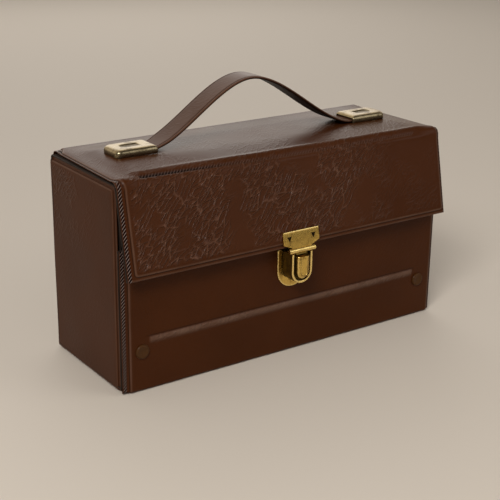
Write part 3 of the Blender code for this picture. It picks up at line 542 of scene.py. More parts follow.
def round_join(first, second):
    """The inset from two edges, with a round corner where they meet."""
    corner = PAD_CORNER - np.hypot(np.maximum(PAD_CORNER - first, 0), np.maximum(PAD_CORNER - second, 0))
    return np.where((first < PAD_CORNER) & (second < PAD_CORNER), corner, np.minimum(first, second))


def pad_inset(x, s):
    """How far a point is inside the padded face, negative on the welded flange."""
    flange = np.where(x > 0, RIGHT_FLANGE, END_FLANGE)
    end = END_X - np.abs(x) - flange - (LID_FLANGE - flange) * on_lid(s)
    return round_join(end, np.minimum(s, STRIP_END - s) - EDGE_FLANGE)


def pad_height(inset, soft=0.0):
    """A padded face with a rounded edge that stands on its flange, rounder where it is soft."""
    across = 1 - np.clip(inset / (PAD_ROUND + (LID_ROUND - PAD_ROUND) * soft), 0, 1)
    return -FLANGE_DROP * (1 + SOFT_DROP * soft) * (1 - np.sqrt(1 - across**2))


def inner_height(inset, lift, rounded, outer):
    """The inside of a sheet, one thickness under its pad or its flange and always below its outside."""
    inner = np.where(inset > PAD_START, -VINYL_THICKNESS, -FLANGE_DROP - VINYL_THICKNESS) + lift + rounded
    return np.minimum(inner, outer - THINNEST_VINYL)


def edge_round(edge):
    """How much a cut edge is rounded away from either side."""
    half = VINYL_THICKNESS / 2
    reach = np.clip(half - edge, 0, half)
    return np.minimum(half - np.sqrt(half**2 - reach**2), 0.8 * half)


def weld_band(x):
    """The band of slanted weld marks in the flange of each end."""
    inward = (END_X - np.abs(x)) * np.where(x > 0, END_FLANGE / RIGHT_FLANGE, 1.0)
    return ease(inward, *WELD_OUTER) * fade(inward, *WELD_INNER)


print("flange at the left and the right end:", END_FLANGE, RIGHT_FLANGE, "mm")

# %% Welt, pressed line and crown
WELT_Z, WELT_HALF, WELT_END, WELT_RISE = 41.97, 3.25, 136.0, 0.9
WELT_EDGE, WELT_CREST, WELT_TAIL = 0.9, -0.6, 0.8
CREASE_ABOVE, CREASE_WIDTH, CREASE_DEPTH = 0.5, 0.45, 0.22
LINE_S, LINE_LEFT, LINE_RIGHT = (LID_FRONT + FLAP_TOP) / 2, -138.0, 132.0
LINE_WIDTH, LINE_END, LINE_SHIFT = 1.3, 2.0, 0.6
LINE_SLANT, LINE_SLANT_RUN, LINE_LEFT_RUN = 3.8, (-160, 20), (-130, -30)
LINE_DEPTH, LINE_DEPTH_LEFT, LINE_MARKS, LINE_MARKS_LEFT = 0.7, 1.1, 0.16, 0.54
RIDGES, RIDGE_RUN = ((1.5, -6.2, 3.2), (0.4, 3.6, 1.7)), (138, 156)
END_FILL, END_FILL_WIDTH, END_FILL_RUN = 1.6, 5.0, (134, 150)
CAP_X, CAP_S = 116.5, LID_BACK + BACK_Y - FOLD_RADIUS
CROWN_RISE, CROWN_LEAN = 2.6, 0.8
CROWN_FLAT, CROWN_FRONT, CROWN_BACK, CROWN_RUN = 18, 60, 48, (134, 154)
SEAT_SHIFT, SEAT_X, SEAT_S = 1.8, (13.9, 16.2), (11.0, 12.2)


def front_welt(x, s):
    """A welt with a crisp upper edge that fades out below: its height, its top and the crease above it."""
    t = FRONT_TOP - s - WELT_Z
    across = ease(-t, -WELT_HALF, -WELT_HALF + WELT_EDGE) * fade(-t, WELT_CREST, WELT_HALF + WELT_TAIL)
    top = across * fade(np.abs(x), WELT_END - 2.0, WELT_END)
    crease = bell(t, WELT_HALF + CREASE_ABOVE, CREASE_WIDTH) * fade(np.abs(x), WELT_END - 1.0, WELT_END + 4)
    return WELT_RISE * top - CREASE_DEPTH * crease, top, crease


def lid_line(x, s):
    """The line stamped into the flap's fold, deepest at its left: its height, its weld marks and the painted shade
    in its deep left part.
    """
    t = s - LINE_S - LINE_SHIFT + LINE_SLANT * fade(x, *LINE_SLANT_RUN)
    along = ease(x, LINE_LEFT, LINE_LEFT + LINE_END) * fade(x, LINE_RIGHT - LINE_END, LINE_RIGHT)
    left = fade(x, *LINE_LEFT_RUN)
    groove = bell(t, 0.0, LINE_WIDTH) * along
    ridges = sum(rise * bell(t, middle, width) for rise, middle, width in RIDGES) * fade(np.abs(x), *RIDGE_RUN)
    ridges = ridges + END_FILL * bell(s, LINE_S, END_FILL_WIDTH) * ease(np.abs(x), *END_FILL_RUN)
    height = ridges - groove * (LINE_DEPTH + LINE_DEPTH_LEFT * left)
    return height, groove * (LINE_MARKS + LINE_MARKS_LEFT * left), groove * left


def crown_rise(x):
    """How high the lid's soft middle stands, a little more at its left."""
    return CROWN_RISE - CROWN_LEAN * x / CAP_X


def lid_crown(x, s):
    """The lid's soft middle, drawn up by the handle, with a flat place under each cap."""
    toward_front = s - (LID_BACK + LID_FRONT) / 2
    fall = ease(np.abs(toward_front), CROWN_FLAT, np.where(toward_front > 0, CROWN_FRONT, CROWN_BACK))
    under_cap = fade(np.abs(np.abs(x) - CAP_X - SEAT_SHIFT), *SEAT_X) * fade(np.abs(s - CAP_S), *SEAT_S)
    return crown_rise(x) * (1 - fall) * fade(np.abs(x), *CROWN_RUN) * (1 - under_cap)


print("crown at the left and the right cap:", crown_rise(-CAP_X), crown_rise(CAP_X), "mm")

# %% Relief of the whole strip
WRINKLED_AT = {0: 0.06, BOTTOM_FRONT: 0.06, BOTTOM_BACK: 0.3, BACK_FOOT: 0.45, BACK_TOP: 0.45, LID_BACK: 0.09,
               LID_FRONT: 0.14, FLAP_TOP: 0.95, STRIP_END: 1.0}
CALM, CALM_RUN, WELT_WRINKLED = 0.8, (40, 115), 0.4
PUCKER, WELD_DEPTH = 0.10, 0.25
PAD_FOOT, FOOT_LINE = (0.9, 0.7), (-0.1, 0.25)
LIP = (0.6, 0.9)


def strip_relief(x, s):
    """Heights of the strip's two faces, and its marks, on a grid of places."""
    x, s = np.meshgrid(x, s)
    inset = pad_inset(x, s)
    weld = weld_band(x) * (1 - on_lid(s))
    welt, welt_top, crease = front_welt(x, s)
    line, line_marked, line_shade = lid_line(x, s)
    pucker = PUCKER * np.sin(0.13 * x + 0.9 * np.sin(0.021 * s)) * np.sin(0.085 * s + 0.5 * np.sin(0.05 * x))
    crown = lid_crown(x, s)
    rounded = edge_round(np.minimum(np.minimum(s, STRIP_END - s), END_X - np.abs(x)))
    outer = (pad_height(inset, on_lid(s)) - WELD_DEPTH * weld + welt + line + crown
             + pucker * ease(inset, 0.5, 5.0) - rounded)
    amount = np.interp(s, list(WRINKLED_AT), list(WRINKLED_AT.values())) * ease(inset, 1.5, 6.0)
    calm = CALM * ease(x, *CALM_RUN) * ease(s, LID_FRONT, FLAP_TOP)
    lip = bell(STRIP_END - s, *LIP) + bell(s, *LIP)
    marks = {
        "wrinkled": amount * (1 - calm) + WELT_WRINKLED * welt_top,
        # Wear with a painted sheen: the pad's edge, the welt's top and the lips at the strip's two ends.
        "worn": np.clip(0.7 * bell(inset, *PAD_FOOT) + welt_top + 0.45 * lip, 0, 1),
        # Painted shade in the crease above the welt, at the pad's foot and in the deep left part of the lid line.
        "pressed": np.clip(0.7 * crease + 0.9 * bell(inset, *FOOT_LINE) + 0.7 * line_shade, 0, 1),
        "marked": np.clip(weld + line_marked, 0, 1),
    }
    return outer, inner_height(inset, crown, rounded, outer), marks


print("wrinkles, from the front wall's top to the flap's end:", list(WRINKLED_AT.values()))

# %% [markdown]
# ## Covers along the strip
#
# The strip is one piece of vinyl on the real case. Here it is three sheets that meet on flat faces: the case's own
# cover rides on the case, a short strip lies between the case and the lid, and the lid's cover runs on down the flap.
# The seams line up point for point.

# %% Cut the strip into sheets
EDGE_STEPS = [0, 0.15, 0.5, 0.9, 1.4, 1.9, 2.4, 2.9]
FLANGE_STEPS = [2.2, 2.3, 2.6, 3.4, 3.9, 4.6, 5.3, 6.0, 6.12, 6.35, 6.75, 7.3, 8, 9.5]
CAP_STEPS = [11, 13, 15, 17, 18.6, 20, 21.5, 22.4, 23, 23.8, 25, 27, 28.5, 31, 37, 44]
half_columns = np.array(EDGE_STEPS + FLANGE_STEPS + CAP_STEPS + list(np.arange(52, END_X, 9.0)))
COLUMNS = np.unique(np.concatenate([-END_X + half_columns, [0.0], END_X - half_columns]))
PAD_STEPS = np.array(EDGE_STEPS + [3.0, 3.12, 3.35, 3.75, 4.3, 5.0])
FACE_ROWS, FOOT_ROWS, BOTTOM_ROWS, BACK_ROWS = 0.62, 0.75, 1.55, 0.78
HINGE_ROWS, LINE_ROWS, FOLD_ROWS, LINE_BAND = 0.55, 0.4, 0.42, 8
BACK_SEAM, LID_SEAM = BACK_TOP - 0.7, LID_BACK + 0.8


def rows(start, end, spacing):
    return np.linspace(start, end, max(2, round((end - start) / spacing) + 1))


def strip_sheet(name, lengths):
    """One sheet of the strip, between the first and the last of some lengths along it."""
    lengths = np.unique(np.concatenate(lengths).round(6))
    places, normals = strip.at(lengths)
    outer, inner, marks = strip_relief(COLUMNS, lengths)
    narrowed = COLUMNS[None, :] * (1 - end_narrowing(lengths)[:, None] / END_X)
    grids = []
    for height in (outer, inner):
        yz = places[:, None, :] + normals[:, None, :] * height[:, :, None]
        grids.append(np.dstack([narrowed, yz[:, :, 0], yz[:, :, 1]]))
    cut = np.dstack(np.meshgrid(COLUMNS, lengths))
    return sheet(name, *grids, cut, marks)


case_cover = strip_sheet("case_cover", [
    PAD_STEPS, rows(PAD_STEPS[-1], FRONT_FOOT, FACE_ROWS), rows(FRONT_FOOT, BOTTOM_FRONT, FOOT_ROWS),
    rows(BOTTOM_FRONT, BOTTOM_BACK, BOTTOM_ROWS), rows(BOTTOM_BACK, BACK_FOOT, FOOT_ROWS),
    rows(BACK_FOOT, BACK_SEAM, BACK_ROWS)])
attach(case_cover, "case")
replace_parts(case_cover, "front_skin", "bottom_skin", "back_skin", "front_bottom_fold", "back_bottom_fold")

# %% The hinge behind the lid
lid_hinge_cover = strip_sheet("lid_hinge_cover", [rows(BACK_SEAM, LID_SEAM, HINGE_ROWS)])
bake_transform(lid_hinge_cover)
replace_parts(lid_hinge_cover, "lid_fold")

# %% The lid's cover and the flap's, in one
lid_cover = strip_sheet("lid_cover", [
    rows(LID_SEAM, LID_FRONT - LINE_BAND, BACK_ROWS), rows(LID_FRONT - LINE_BAND, LID_FRONT, LINE_ROWS),
    rows(LID_FRONT, FLAP_TOP, FOLD_ROWS), rows(FLAP_TOP, STRIP_END - PAD_STEPS[-1], FACE_ROWS),
    STRIP_END - PAD_STEPS])
fold_ends = strip.at([LID_FRONT, FLAP_TOP])[0] * MM
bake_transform(lid_cover)
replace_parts(lid_cover, "lid_skin", "flap_skin", "flap_fold")

# %% [markdown]
# ## Ends of the case
#
# Each end is a padded panel of its own. It has a narrow welded flange along its top and its front, and it wraps
# round onto the back and under the case. It stands a little behind the front wall's edge, so a dark gap shows
# between the two.

# %% End covers
SIDE_Y, SIDE_Z, SIDE_FLANGE, WRAP_ROUND = (-51.0, 57.2), (0.4, 167.0), 3.0, 3.0
SIDE_STEPS, SIDE_SPACING, SIDE_CUT = np.append(PAD_STEPS, 8.0), 7.0, 400
SIDE_PUCKER, SIDE_LIP = 0.12, (0.5, 0.6)
SIDES = (("left", -1), ("right", 1))


def from_both_ends(low, high, steps, spacing):
    middle = rows(low + steps[-1], high - steps[-1], spacing)
    return np.unique(np.concatenate([low + steps, middle, high - steps]).round(6))


def end_cover(name, side):
    """The padded cover of one end, rounded where it wraps under the case and onto its back."""
    y = from_both_ends(*SIDE_Y, SIDE_STEPS, SIDE_SPACING)
    z = from_both_ends(*SIDE_Z, SIDE_STEPS, SIDE_SPACING)
    y, z = np.meshgrid(y, z)
    front_edge, top_edge = y - SIDE_Y[0], SIDE_Z[1] - z
    back_edge, bottom_edge = SIDE_Y[1] - y, z - SIDE_Z[0]
    inset = round_join(front_edge - SIDE_FLANGE, top_edge - SIDE_FLANGE)
    into_wrap = np.hypot(np.maximum(WRAP_ROUND - back_edge, 0), np.maximum(WRAP_ROUND - bottom_edge, 0))
    wrap = np.sqrt(WRAP_ROUND**2 - np.minimum(into_wrap, WRAP_ROUND) ** 2) - WRAP_ROUND
    cut_edge = np.minimum(front_edge, top_edge)
    rounded = edge_round(cut_edge)
    pucker = SIDE_PUCKER * np.sin(0.09 * y + 0.4) * np.sin(0.06 * z)
    outer = pad_height(inset) + wrap + pucker * ease(inset, 1, 8) - rounded
    inner = inner_height(inset, wrap, rounded, outer)
    grids = [np.dstack([side * (END_X + height), y, z]) for height in (outer, inner)]
    upper_back = ease(z, 90, 165) * ease(y, -30, 50)
    marks = {
        "wrinkled": (0.03 + 0.5 * upper_back) * ease(inset, 1.5, 6.0),
        # Wear with a painted sheen on the pad's edge and on the cut edge.
        "worn": np.clip(0.5 * bell(inset, *PAD_FOOT) + 0.3 * bell(cut_edge, *SIDE_LIP), 0, 1),
        # Painted shade at the pad's foot.
        "pressed": 0.45 * bell(inset, *FOOT_LINE),
    }
    cover = sheet(name, *grids, np.dstack([y + side * SIDE_CUT, z]), marks)
    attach(cover, "case")
    return cover


for side_name, side in SIDES:
    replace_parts(end_cover(f"{side_name}_end_cover", side), f"{side_name}_side_skin")

# %% [markdown]
# ## Handle strap
#
# The handle is a flat vinyl strap with a pressed line along each edge. In the photograph it stands up in a bow, with
# its crest a little left of the middle. It is a sheet along that bow, with its ends in the caps.

# %% Strap
STRAP_HALF_WIDTH, STRAP_NECK, STRAP_HALF, STRAP_HALF_LENGTH = 12.0, 10.5, 1.1, 114.7
STRAP_FOOT, STRAP_RISE, HANDLE_TRAVEL = TOP_Z + 4.2, 52.0, 27.0
BOW_CREST, BOW_HEIGHT, BOW_ROUND = -9.0, 48.8, 7.0
BOW_LEFT, BOW_RIGHT, BOW_STRAIGHT, BOW_SOFT = 88.0, 96.0, 0.4, 0.6
NECK_RUN, STRAP_STATIONS = (86, 97), 181
EDGE_RADIUS, EDGE_SAG, STRAP_LINE, STRAP_LINE_DEPTH = 1.0, 0.9, (2.1, 0.4), 0.3
# The strap's top face is paler all over, and more so at its edges: wear with a painted sheen.
STRAP_WEAR_AND_SHEEN, STRAP_EDGE_WEAR_AND_SHEEN, STRAP_EDGE, STRAP_CUT = 0.36, 0.35, (0.9, 0.6), 800

across = np.array([0, 0.12, 0.4, 0.8, 1.3, 1.7, 2.0, 2.2, 2.5, 2.9, 3.5, 5.0, 7.5])
across = np.unique(np.concatenate([-STRAP_HALF_WIDTH + across, [0.0], STRAP_HALF_WIDTH - across]))
x = np.linspace(-STRAP_HALF_LENGTH, STRAP_HALF_LENGTH, STRAP_STATIONS)
off_crest = x - BOW_CREST
leg = np.where(off_crest < 0, BOW_LEFT, BOW_RIGHT)
climb = np.clip(1 + (BOW_ROUND - np.hypot(off_crest, BOW_ROUND)) / leg, 0, 1)
foot = STRAP_FOOT + crown_rise(x) - crown_rise(0)
bow = np.stack([x, foot + BOW_HEIGHT * (BOW_STRAIGHT * climb + BOW_SOFT * ease(climb, 0, 1))], 1)
along = np.concatenate([[0], np.cumsum(np.linalg.norm(np.diff(bow, axis=0), axis=1))])
slope = np.gradient(bow, axis=0)
normal = np.stack([-slope[:, 1], slope[:, 0]], 1) / np.linalg.norm(slope, axis=1)[:, None]
print("strap:", round(along[-1], 1), "mm along its bow")

# %% Strap's faces
from_edge = STRAP_HALF_WIDTH - np.abs(across)
waist = 1 - (1 - STRAP_NECK / STRAP_HALF_WIDTH) * ease(np.abs(x), *NECK_RUN)
rounding = np.clip(EDGE_RADIUS - from_edge, 0, 1)
face = STRAP_HALF - EDGE_SAG * (1 - np.sqrt(1 - rounding**2)) - STRAP_LINE_DEPTH * bell(from_edge, *STRAP_LINE)
grids = []
for height in (face, -face):
    place = bow[:, None, :] + normal[:, None, :] * height[None, :, None]
    grids.append(np.dstack([place[:, :, 0], across[None, :] * waist[:, None], place[:, :, 1]]))
spread = np.ones((len(along), 1))
strap_marks = {
    "wrinkled": 0.06 * spread * ease(from_edge, 2.5, 4.0),
    "worn": spread * (STRAP_WEAR_AND_SHEEN + STRAP_EDGE_WEAR_AND_SHEEN * bell(from_edge, *STRAP_EDGE)),
    # Painted shade in the groove along each edge of the strap's top.
    "pressed": 0.9 * spread * bell(from_edge, *STRAP_LINE),
}
# The strap's underside is given full painted shade.
strap = sheet("strap", *grids, np.dstack(np.meshgrid(across + STRAP_CUT, along)), strap_marks, underside_shade=1.0)
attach(strap, "strap")
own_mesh(strap)
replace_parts(strap, "handle_strap")

# %% [markdown]
# ## Metal pieces
#
# A cast or pressed metal piece is drawn as a stack of outlines, each at its own depth, joined like the ribs of a
# boat. Small steps between the first few outlines make a rounded edge. A stack that closes on itself makes a frame
# with a window. A frame of axes then stands the piece on the wall, on the flap or on the lid.

# %% Stacks of outlines
LEAN_SIN, LEAN_COS = math.sin(FLAP_LEAN), math.cos(FLAP_LEAN)
WALL_AXES = Matrix(((1, 0, 0, 0), (0, 0, -1, FRONT_Y), (0, 1, 0, 0), (0, 0, 0, 1)))
FLAP_AXES = Matrix(((1, 0, 0, 0), (0, LEAN_SIN, -LEAN_COS, FLAP_FOLD_Y), (0, LEAN_COS, LEAN_SIN, TOP_Z), (0, 0, 0, 1)))


def stack(levels, ring=False):
    """Points and faces of a closed solid through (outline, depth) levels."""
    count, depth = len(levels[0][0]), len(levels)
    points = np.concatenate([np.column_stack([outline, np.full(count, level)]) for outline, level in levels])
    faces = []
    for low in range(depth if ring else depth - 1):
        high = (low + 1) % depth
        faces += [(low * count + i, low * count + (i + 1) % count, high * count + (i + 1) % count, high * count + i)
                  for i in range(count)]
    if not ring:
        faces += [tuple(range(count))[::-1], tuple(range((depth - 1) * count, depth * count))]
    return points, faces


def straight(outline, low, high):
    """A solid with one outline all the way."""
    return stack([(np.array(outline), low), (np.array(outline), high)])


def block(low, high):
    """A plain block between two corners."""
    (x0, y0, z0), (x1, y1, z1) = low, high
    return straight([(x0, y0), (x1, y0), (x1, y1), (x0, y1)], z0, z1)


def shells_mesh(name, shells, axes):
    """One mesh from several shells, stood on some axes."""
    mesh = bpy.data.meshes.new(name)
    points, faces = [], []
    for shell_points, shell_faces in shells:
        faces += [tuple(len(points) + corner for corner in face) for face in shell_faces]
        points += [tuple(point) for point in shell_points]
    mesh.from_pydata(points, [], faces)
    mesh.transform(axes)
    mesh.transform(Matrix.Scale(MM, 4))
    return mesh


def stand(name, shells, axes, finish=BRASS):
    """A piece made of shells, stood on some axes, of brass if nothing else is said."""
    return add_piece(name, shells_mesh(name, shells, axes), finish)


def set_grime_and_light_tones(piece, tones):
    """Marks each point of a piece with grime and painted shade, or with polish and a painted highlight where the tone
    is negative.
    """
    values = np.asarray(tones, np.float32)
    piece.data.attributes.new("shade_shine_and_grime", "FLOAT", "POINT").data.foreach_set("value", values)


def level_tones(levels, tones):
    """One tone for each level of a stack, for all its points."""
    return np.repeat(tones, len(levels[0][0]))


def round_corner(x, y, radius, start, end, steps):
    angles = np.linspace(start, end, steps)
    return np.column_stack([x + radius * np.cos(angles), y + radius * np.sin(angles)])


def u_outline(half, top, bottom, corner):
    """A plate with a round foot and two small corners at its top."""
    return np.concatenate([round_corner(0, bottom + half, half, math.pi, 2 * math.pi, 33),
                           round_corner(half - corner, top - corner, corner, 0, QUARTER, 5),
                           round_corner(corner - half, top - corner, corner, QUARTER, math.pi, 5)])


def u_shape(half, top, bottom, corner):
    """A U that can be drawn at any inset."""
    return lambda inset: u_outline(half - inset, top - inset, bottom + inset, corner)


def edge_levels(low, high, rounding, shape, rim=0.0):
    """Levels with a rounded far edge and perhaps a rim on its face; shape(inset) gives the outline."""
    levels = [(shape(0.0), low)]
    for turn in np.linspace(0, QUARTER, 5):
        levels.append((shape(rounding * (1 - math.cos(turn))), high - rounding + rounding * math.sin(turn)))
    return levels + ([(shape(rounding + rim), high)] if rim else [])


print("faces of a plain block:", len(block((0, 0, 0), (1, 1, 1))[1]))

# %% [markdown]
# ## Tuck lock
#
# The lock is a cast brass body shaped like a U, open at its top for the hasp's tongue. A plate sits inside its mouth
# with a window for the push button. The button is a pressed shell, hollow behind so that it can go in over its
# spring, and its face is dished inside a sloped rim. The body stands on a flat base plate with two prongs.

# %% Base plate and body
LOCK_TOP, LOCK_HALF, LOCK_BOTTOM, LOCK_WALL = 91.47, 10.25, 65.47, 2.0
PLATE_BACK, PLATE, PRONG_END, PRONG_HALF, PRONG_ROOT = 0.3, 1.2, -6.6, 0.5, 0.6
BASE_PRONG_X, BASE_PRONG_Z = 12.45, (77.47, 82.47)
BODY_BACK, BODY_FRONT = 1.8, 15.0
# The base plate's rounded edge and the body's front rim get a painted highlight, partly polish; the body's back and
# side walls get painted shade.
BASE_TONES, BODY_TONES = [0, -0.5, -0.8, -0.9, -0.9, -0.8, 0], [0.95, 0.5, 0.1, -0.5, -0.8, -0.8]


def open_u(half, top, bottom):
    arc = round_corner(0, bottom + half, half, math.pi, 2 * math.pi, 41)
    return np.concatenate([[(-half, top)], arc, [(half, top)]])


def body_outline(inset):
    outer = open_u(LOCK_HALF - inset, LOCK_TOP - inset, LOCK_BOTTOM + inset)
    inner = open_u(LOCK_HALF - LOCK_WALL + inset, LOCK_TOP - inset, LOCK_BOTTOM + LOCK_WALL - inset)
    return np.concatenate([outer, inner[::-1]])


base_outline = u_shape(half=14.75, top=92.47, bottom=58.57, corner=1.0)
base_levels = edge_levels(PLATE_BACK, PLATE_BACK + PLATE, rounding=0.45, shape=base_outline, rim=0.9)
base_prongs = [block((x - PRONG_HALF, BASE_PRONG_Z[0], PRONG_END),
                     (x + PRONG_HALF, BASE_PRONG_Z[1], PLATE_BACK + PRONG_ROOT)) for x in (-BASE_PRONG_X, BASE_PRONG_X)]
lock_base = stand("lock_base_plate", [stack(base_levels)] + base_prongs, WALL_AXES)
base_tones = level_tones(base_levels, BASE_TONES)
set_grime_and_light_tones(lock_base, np.append(base_tones, np.zeros(len(lock_base.data.vertices) - len(base_tones))))
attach(lock_base, "case")
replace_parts(lock_base, "lock_base")
body_levels = edge_levels(BODY_BACK, BODY_FRONT, rounding=0.55, shape=body_outline)
lock_body = stand("lock_body_cast", [stack(body_levels)], WALL_AXES)
set_grime_and_light_tones(lock_body, level_tones(body_levels, BODY_TONES))
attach(lock_body, "case")
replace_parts(lock_body, "lock_body")
print("lock body faces:", len(lock_body.data.polygons))

# %% Face plate with its window
# The face plate, deep in the body's mouth, gets painted shade all over.
FACE_FRONT, FACE_SHADE, WINDOW_ROOM = 12.0, 0.85, 0.3
BUTTON_HALF, BUTTON_TOP, BUTTON_BOTTOM = 5.85, 89.3, 69.87

face_outline = u_shape(half=7.95, top=90.9, bottom=67.77, corner=0.8)
button_outline = u_shape(BUTTON_HALF, BUTTON_TOP, BUTTON_BOTTOM, corner=0.6)
rim = edge_levels(FACE_FRONT - PLATE, FACE_FRONT, rounding=0.3, shape=face_outline)
window = [(button_outline(-inset - WINDOW_ROOM), FACE_FRONT - drop)
          for inset, drop in ((0.3, 0.0), (0.09, 0.09), (0.0, 0.3), (0.0, PLATE))]
lock_face = stand("lock_face_plate", [stack(rim + window, ring=True)], WALL_AXES)
set_grime_and_light_tones(lock_face, np.full(len(lock_face.data.vertices), FACE_SHADE))
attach(lock_face, "case")
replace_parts(lock_face, "lock_face")
print("face plate faces:", len(lock_face.data.polygons))

# %% Push button
BUTTON_FRONT, BUTTON_BACK, BUTTON_WALL, BUTTON_HOLLOW = 17.8, 8.5, 2.1, 2.3
FLANGE_FRONT, FLANGE_BACK, FLANGE_REACH, HAIR = 10.5, 9.5, 1.2, 0.001
SLOPE_WIDTH, SLOPE_DEPTH, SLOPE_TOP = 2.3, 1.3, 0.1
# The button's hidden back gets painted shade, its rims a painted highlight, and the groove in its dish painted shade.
BUTTON_TONES = [0.9] * 8 + [0.2, -0.3, -0.4, 0.1, 0.95, 0.1, -0.3, 0.0]


def sloped_outline(inset):
    """The button's outline further out, drawn in at its sides and its foot and straight at its top."""
    return u_outline(BUTTON_HALF - inset, BUTTON_TOP - SLOPE_TOP, BUTTON_BOTTOM + inset, corner=0.4)


slope_start = BUTTON_FRONT - SLOPE_DEPTH
hollow = [(button_outline(BUTTON_WALL), BUTTON_BACK + BUTTON_HOLLOW), (button_outline(BUTTON_WALL), BUTTON_BACK)]
skirt = [(button_outline(0.3), BUTTON_BACK), (button_outline(0.0), BUTTON_BACK + 0.3),
         (button_outline(0.0), FLANGE_BACK), (button_outline(-FLANGE_REACH), FLANGE_BACK + HAIR),
         (button_outline(-FLANGE_REACH), FLANGE_FRONT - HAIR), (button_outline(0.0), FLANGE_FRONT),
         (button_outline(0.0), slope_start - 0.25), (button_outline(0.08), slope_start - 0.05)]
dish = [(sloped_outline(0.25), slope_start + 0.12)]
dish += [(sloped_outline(SLOPE_WIDTH + inward), BUTTON_FRONT - drop)
         for inward, drop in ((0.0, 0.1), (0.2, 0.35), (0.4, 0.08), (0.6, 0.0), (1.2, 0.0))]
button_levels = hollow + skirt + dish
lock_button = stand("push_button", [stack(button_levels)], WALL_AXES)
set_grime_and_light_tones(lock_button, level_tones(button_levels, BUTTON_TONES))
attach(lock_button, "button")
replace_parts(lock_button, "lock_button")
print("button reaches", BUTTON_FRONT, "mm in front of the wall")

# %% [markdown]
# ## Hasp
#
# The hasp is one pressed plate on the flap's lower edge. Two triangles were punched through it to turn out its
# prongs, its upper edge is folded over into a lip, and its foot is rolled round a bar; the lip and the bar carry a
# painted highlight. A tongue behind the bar goes into the lock. The holes are cut straight through, and a dark plug
# a hair below the face shows as their shadow.

# %% Outlines and cutters of the hasp
HASP_TOP, HASP_SHOULDER, HASP_NECK, HASP_BAR, HASP_TIP = 63.0, 73.5, 77.0, 79.4, 83.4
HASP_HALF, NECK_HALF, HASP_BACK, HASP_FRONT = 18.0, 9.7, 0.3, 1.5
HOLE_X, HOLE_TOP, HOLE_HALF, HOLE_DEEP, CUT_ROOM = 12.0, 67.3, 2.3, 4.4, 0.5
left_half = [(-HASP_HALF, -HASP_TOP), (-HASP_HALF, -HASP_SHOULDER), (-NECK_HALF, -HASP_NECK), (-NECK_HALF, -HASP_BAR)]
hasp_corners = np.array(left_half + [(-x, y) for x, y in left_half[::-1]])


def inset_polygon(points, inset):
    """Moves every side of a counter-clockwise polygon inwards."""
    ahead = np.roll(points, -1, axis=0) - points
    inward = np.column_stack([-ahead[:, 1], ahead[:, 0]]) / np.linalg.norm(ahead, axis=1)[:, None]
    before = np.roll(inward, 1, axis=0)
    return points + inset * (inward + before) / (1 + np.sum(inward * before, axis=1))[:, None]


def triangle(x, grow):
    points = [(x - HOLE_HALF, -HOLE_TOP), (x, -HOLE_TOP - HOLE_DEEP), (x + HOLE_HALF, -HOLE_TOP)]
    return inset_polygon(np.array(points), -grow)


def cut_with(piece, shells, axes):
    """Cuts shells out of a piece, exactly, and removes the cutter."""
    tool = bpy.data.objects.new("cutter", shells_mesh("cutter", shells, axes))
    bpy.context.scene.collection.objects.link(tool)
    cut = piece.modifiers.new("cut", "BOOLEAN")
    cut.operation, cut.solver, cut.object = "DIFFERENCE", "EXACT", tool
    bpy.context.view_layer.update()
    cut_mesh = bpy.data.meshes.new_from_object(piece.evaluated_get(bpy.context.evaluated_depsgraph_get()))
    piece.modifiers.clear()
    dress(cut_mesh, piece.data.materials[0])
    cut_mesh.polygons.foreach_set("material_index", [0] * len(cut_mesh.polygons))
    piece.data = cut_mesh
    bpy.data.objects.remove(tool)


print("hasp corners:", len(hasp_corners))

# %% Hasp plate
hasp_levels = edge_levels(HASP_BACK, HASP_FRONT, rounding=0.35, shape=lambda inset: inset_polygon(hasp_corners, inset))
hasp = stand("hasp", [stack(hasp_levels)], FLAP_AXES)
cut_with(hasp, [straight(triangle(x, 0.0), HASP_BACK - CUT_ROOM, HASP_FRONT + CUT_ROOM) for x in (-HOLE_X, HOLE_X)],
         FLAP_AXES)
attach(hasp, "flap")
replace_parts(hasp, "hasp_plate")
print("hasp faces:", len(hasp.data.polygons))

# %% Rolled bar, lip and tongue
BAR_OUT, LIP_DOWN, LIP_SUNK = 0.9, 0.55, 0.25
TONGUE_HALF, TONGUE_DEPTH, TONGUE_ROOT = 5.0, (-2.0, -0.8), 1.1
HASP_PRONG_HALF, HASP_PRONG_UP, PLUG_GROW, PLUG_SUNK = 1.3, (0.5, 1.5), 0.03, 0.15
# The bar and the lip get a painted highlight, partly polish, and the plugs are painted dark as the holes' shadow.
SHELL_TONES = [-0.5, -0.9, 0.5, 0, 1, 0, 1]


def round_bar(radius, half_length, rounding, steps=28):
    """A bar with softly rounded ends, along its depth axis."""
    ends = [(radius - rounding * (1 - math.sin(turn)), half_length - rounding * (1 - math.cos(turn)))
            for turn in np.linspace(0, QUARTER, 5)]
    profile = [(r, -d) for r, d in ends] + [(r, d) for r, d in ends[::-1]]
    around = np.arange(steps) * 2 * math.pi / steps
    return stack([(np.column_stack([r * np.cos(around), r * np.sin(around)]), depth) for r, depth in profile])


def lay_along_x(shell, y, z):
    points, faces = shell
    return points[:, [2, 0, 1]] + np.array([0.0, y, z]), faces


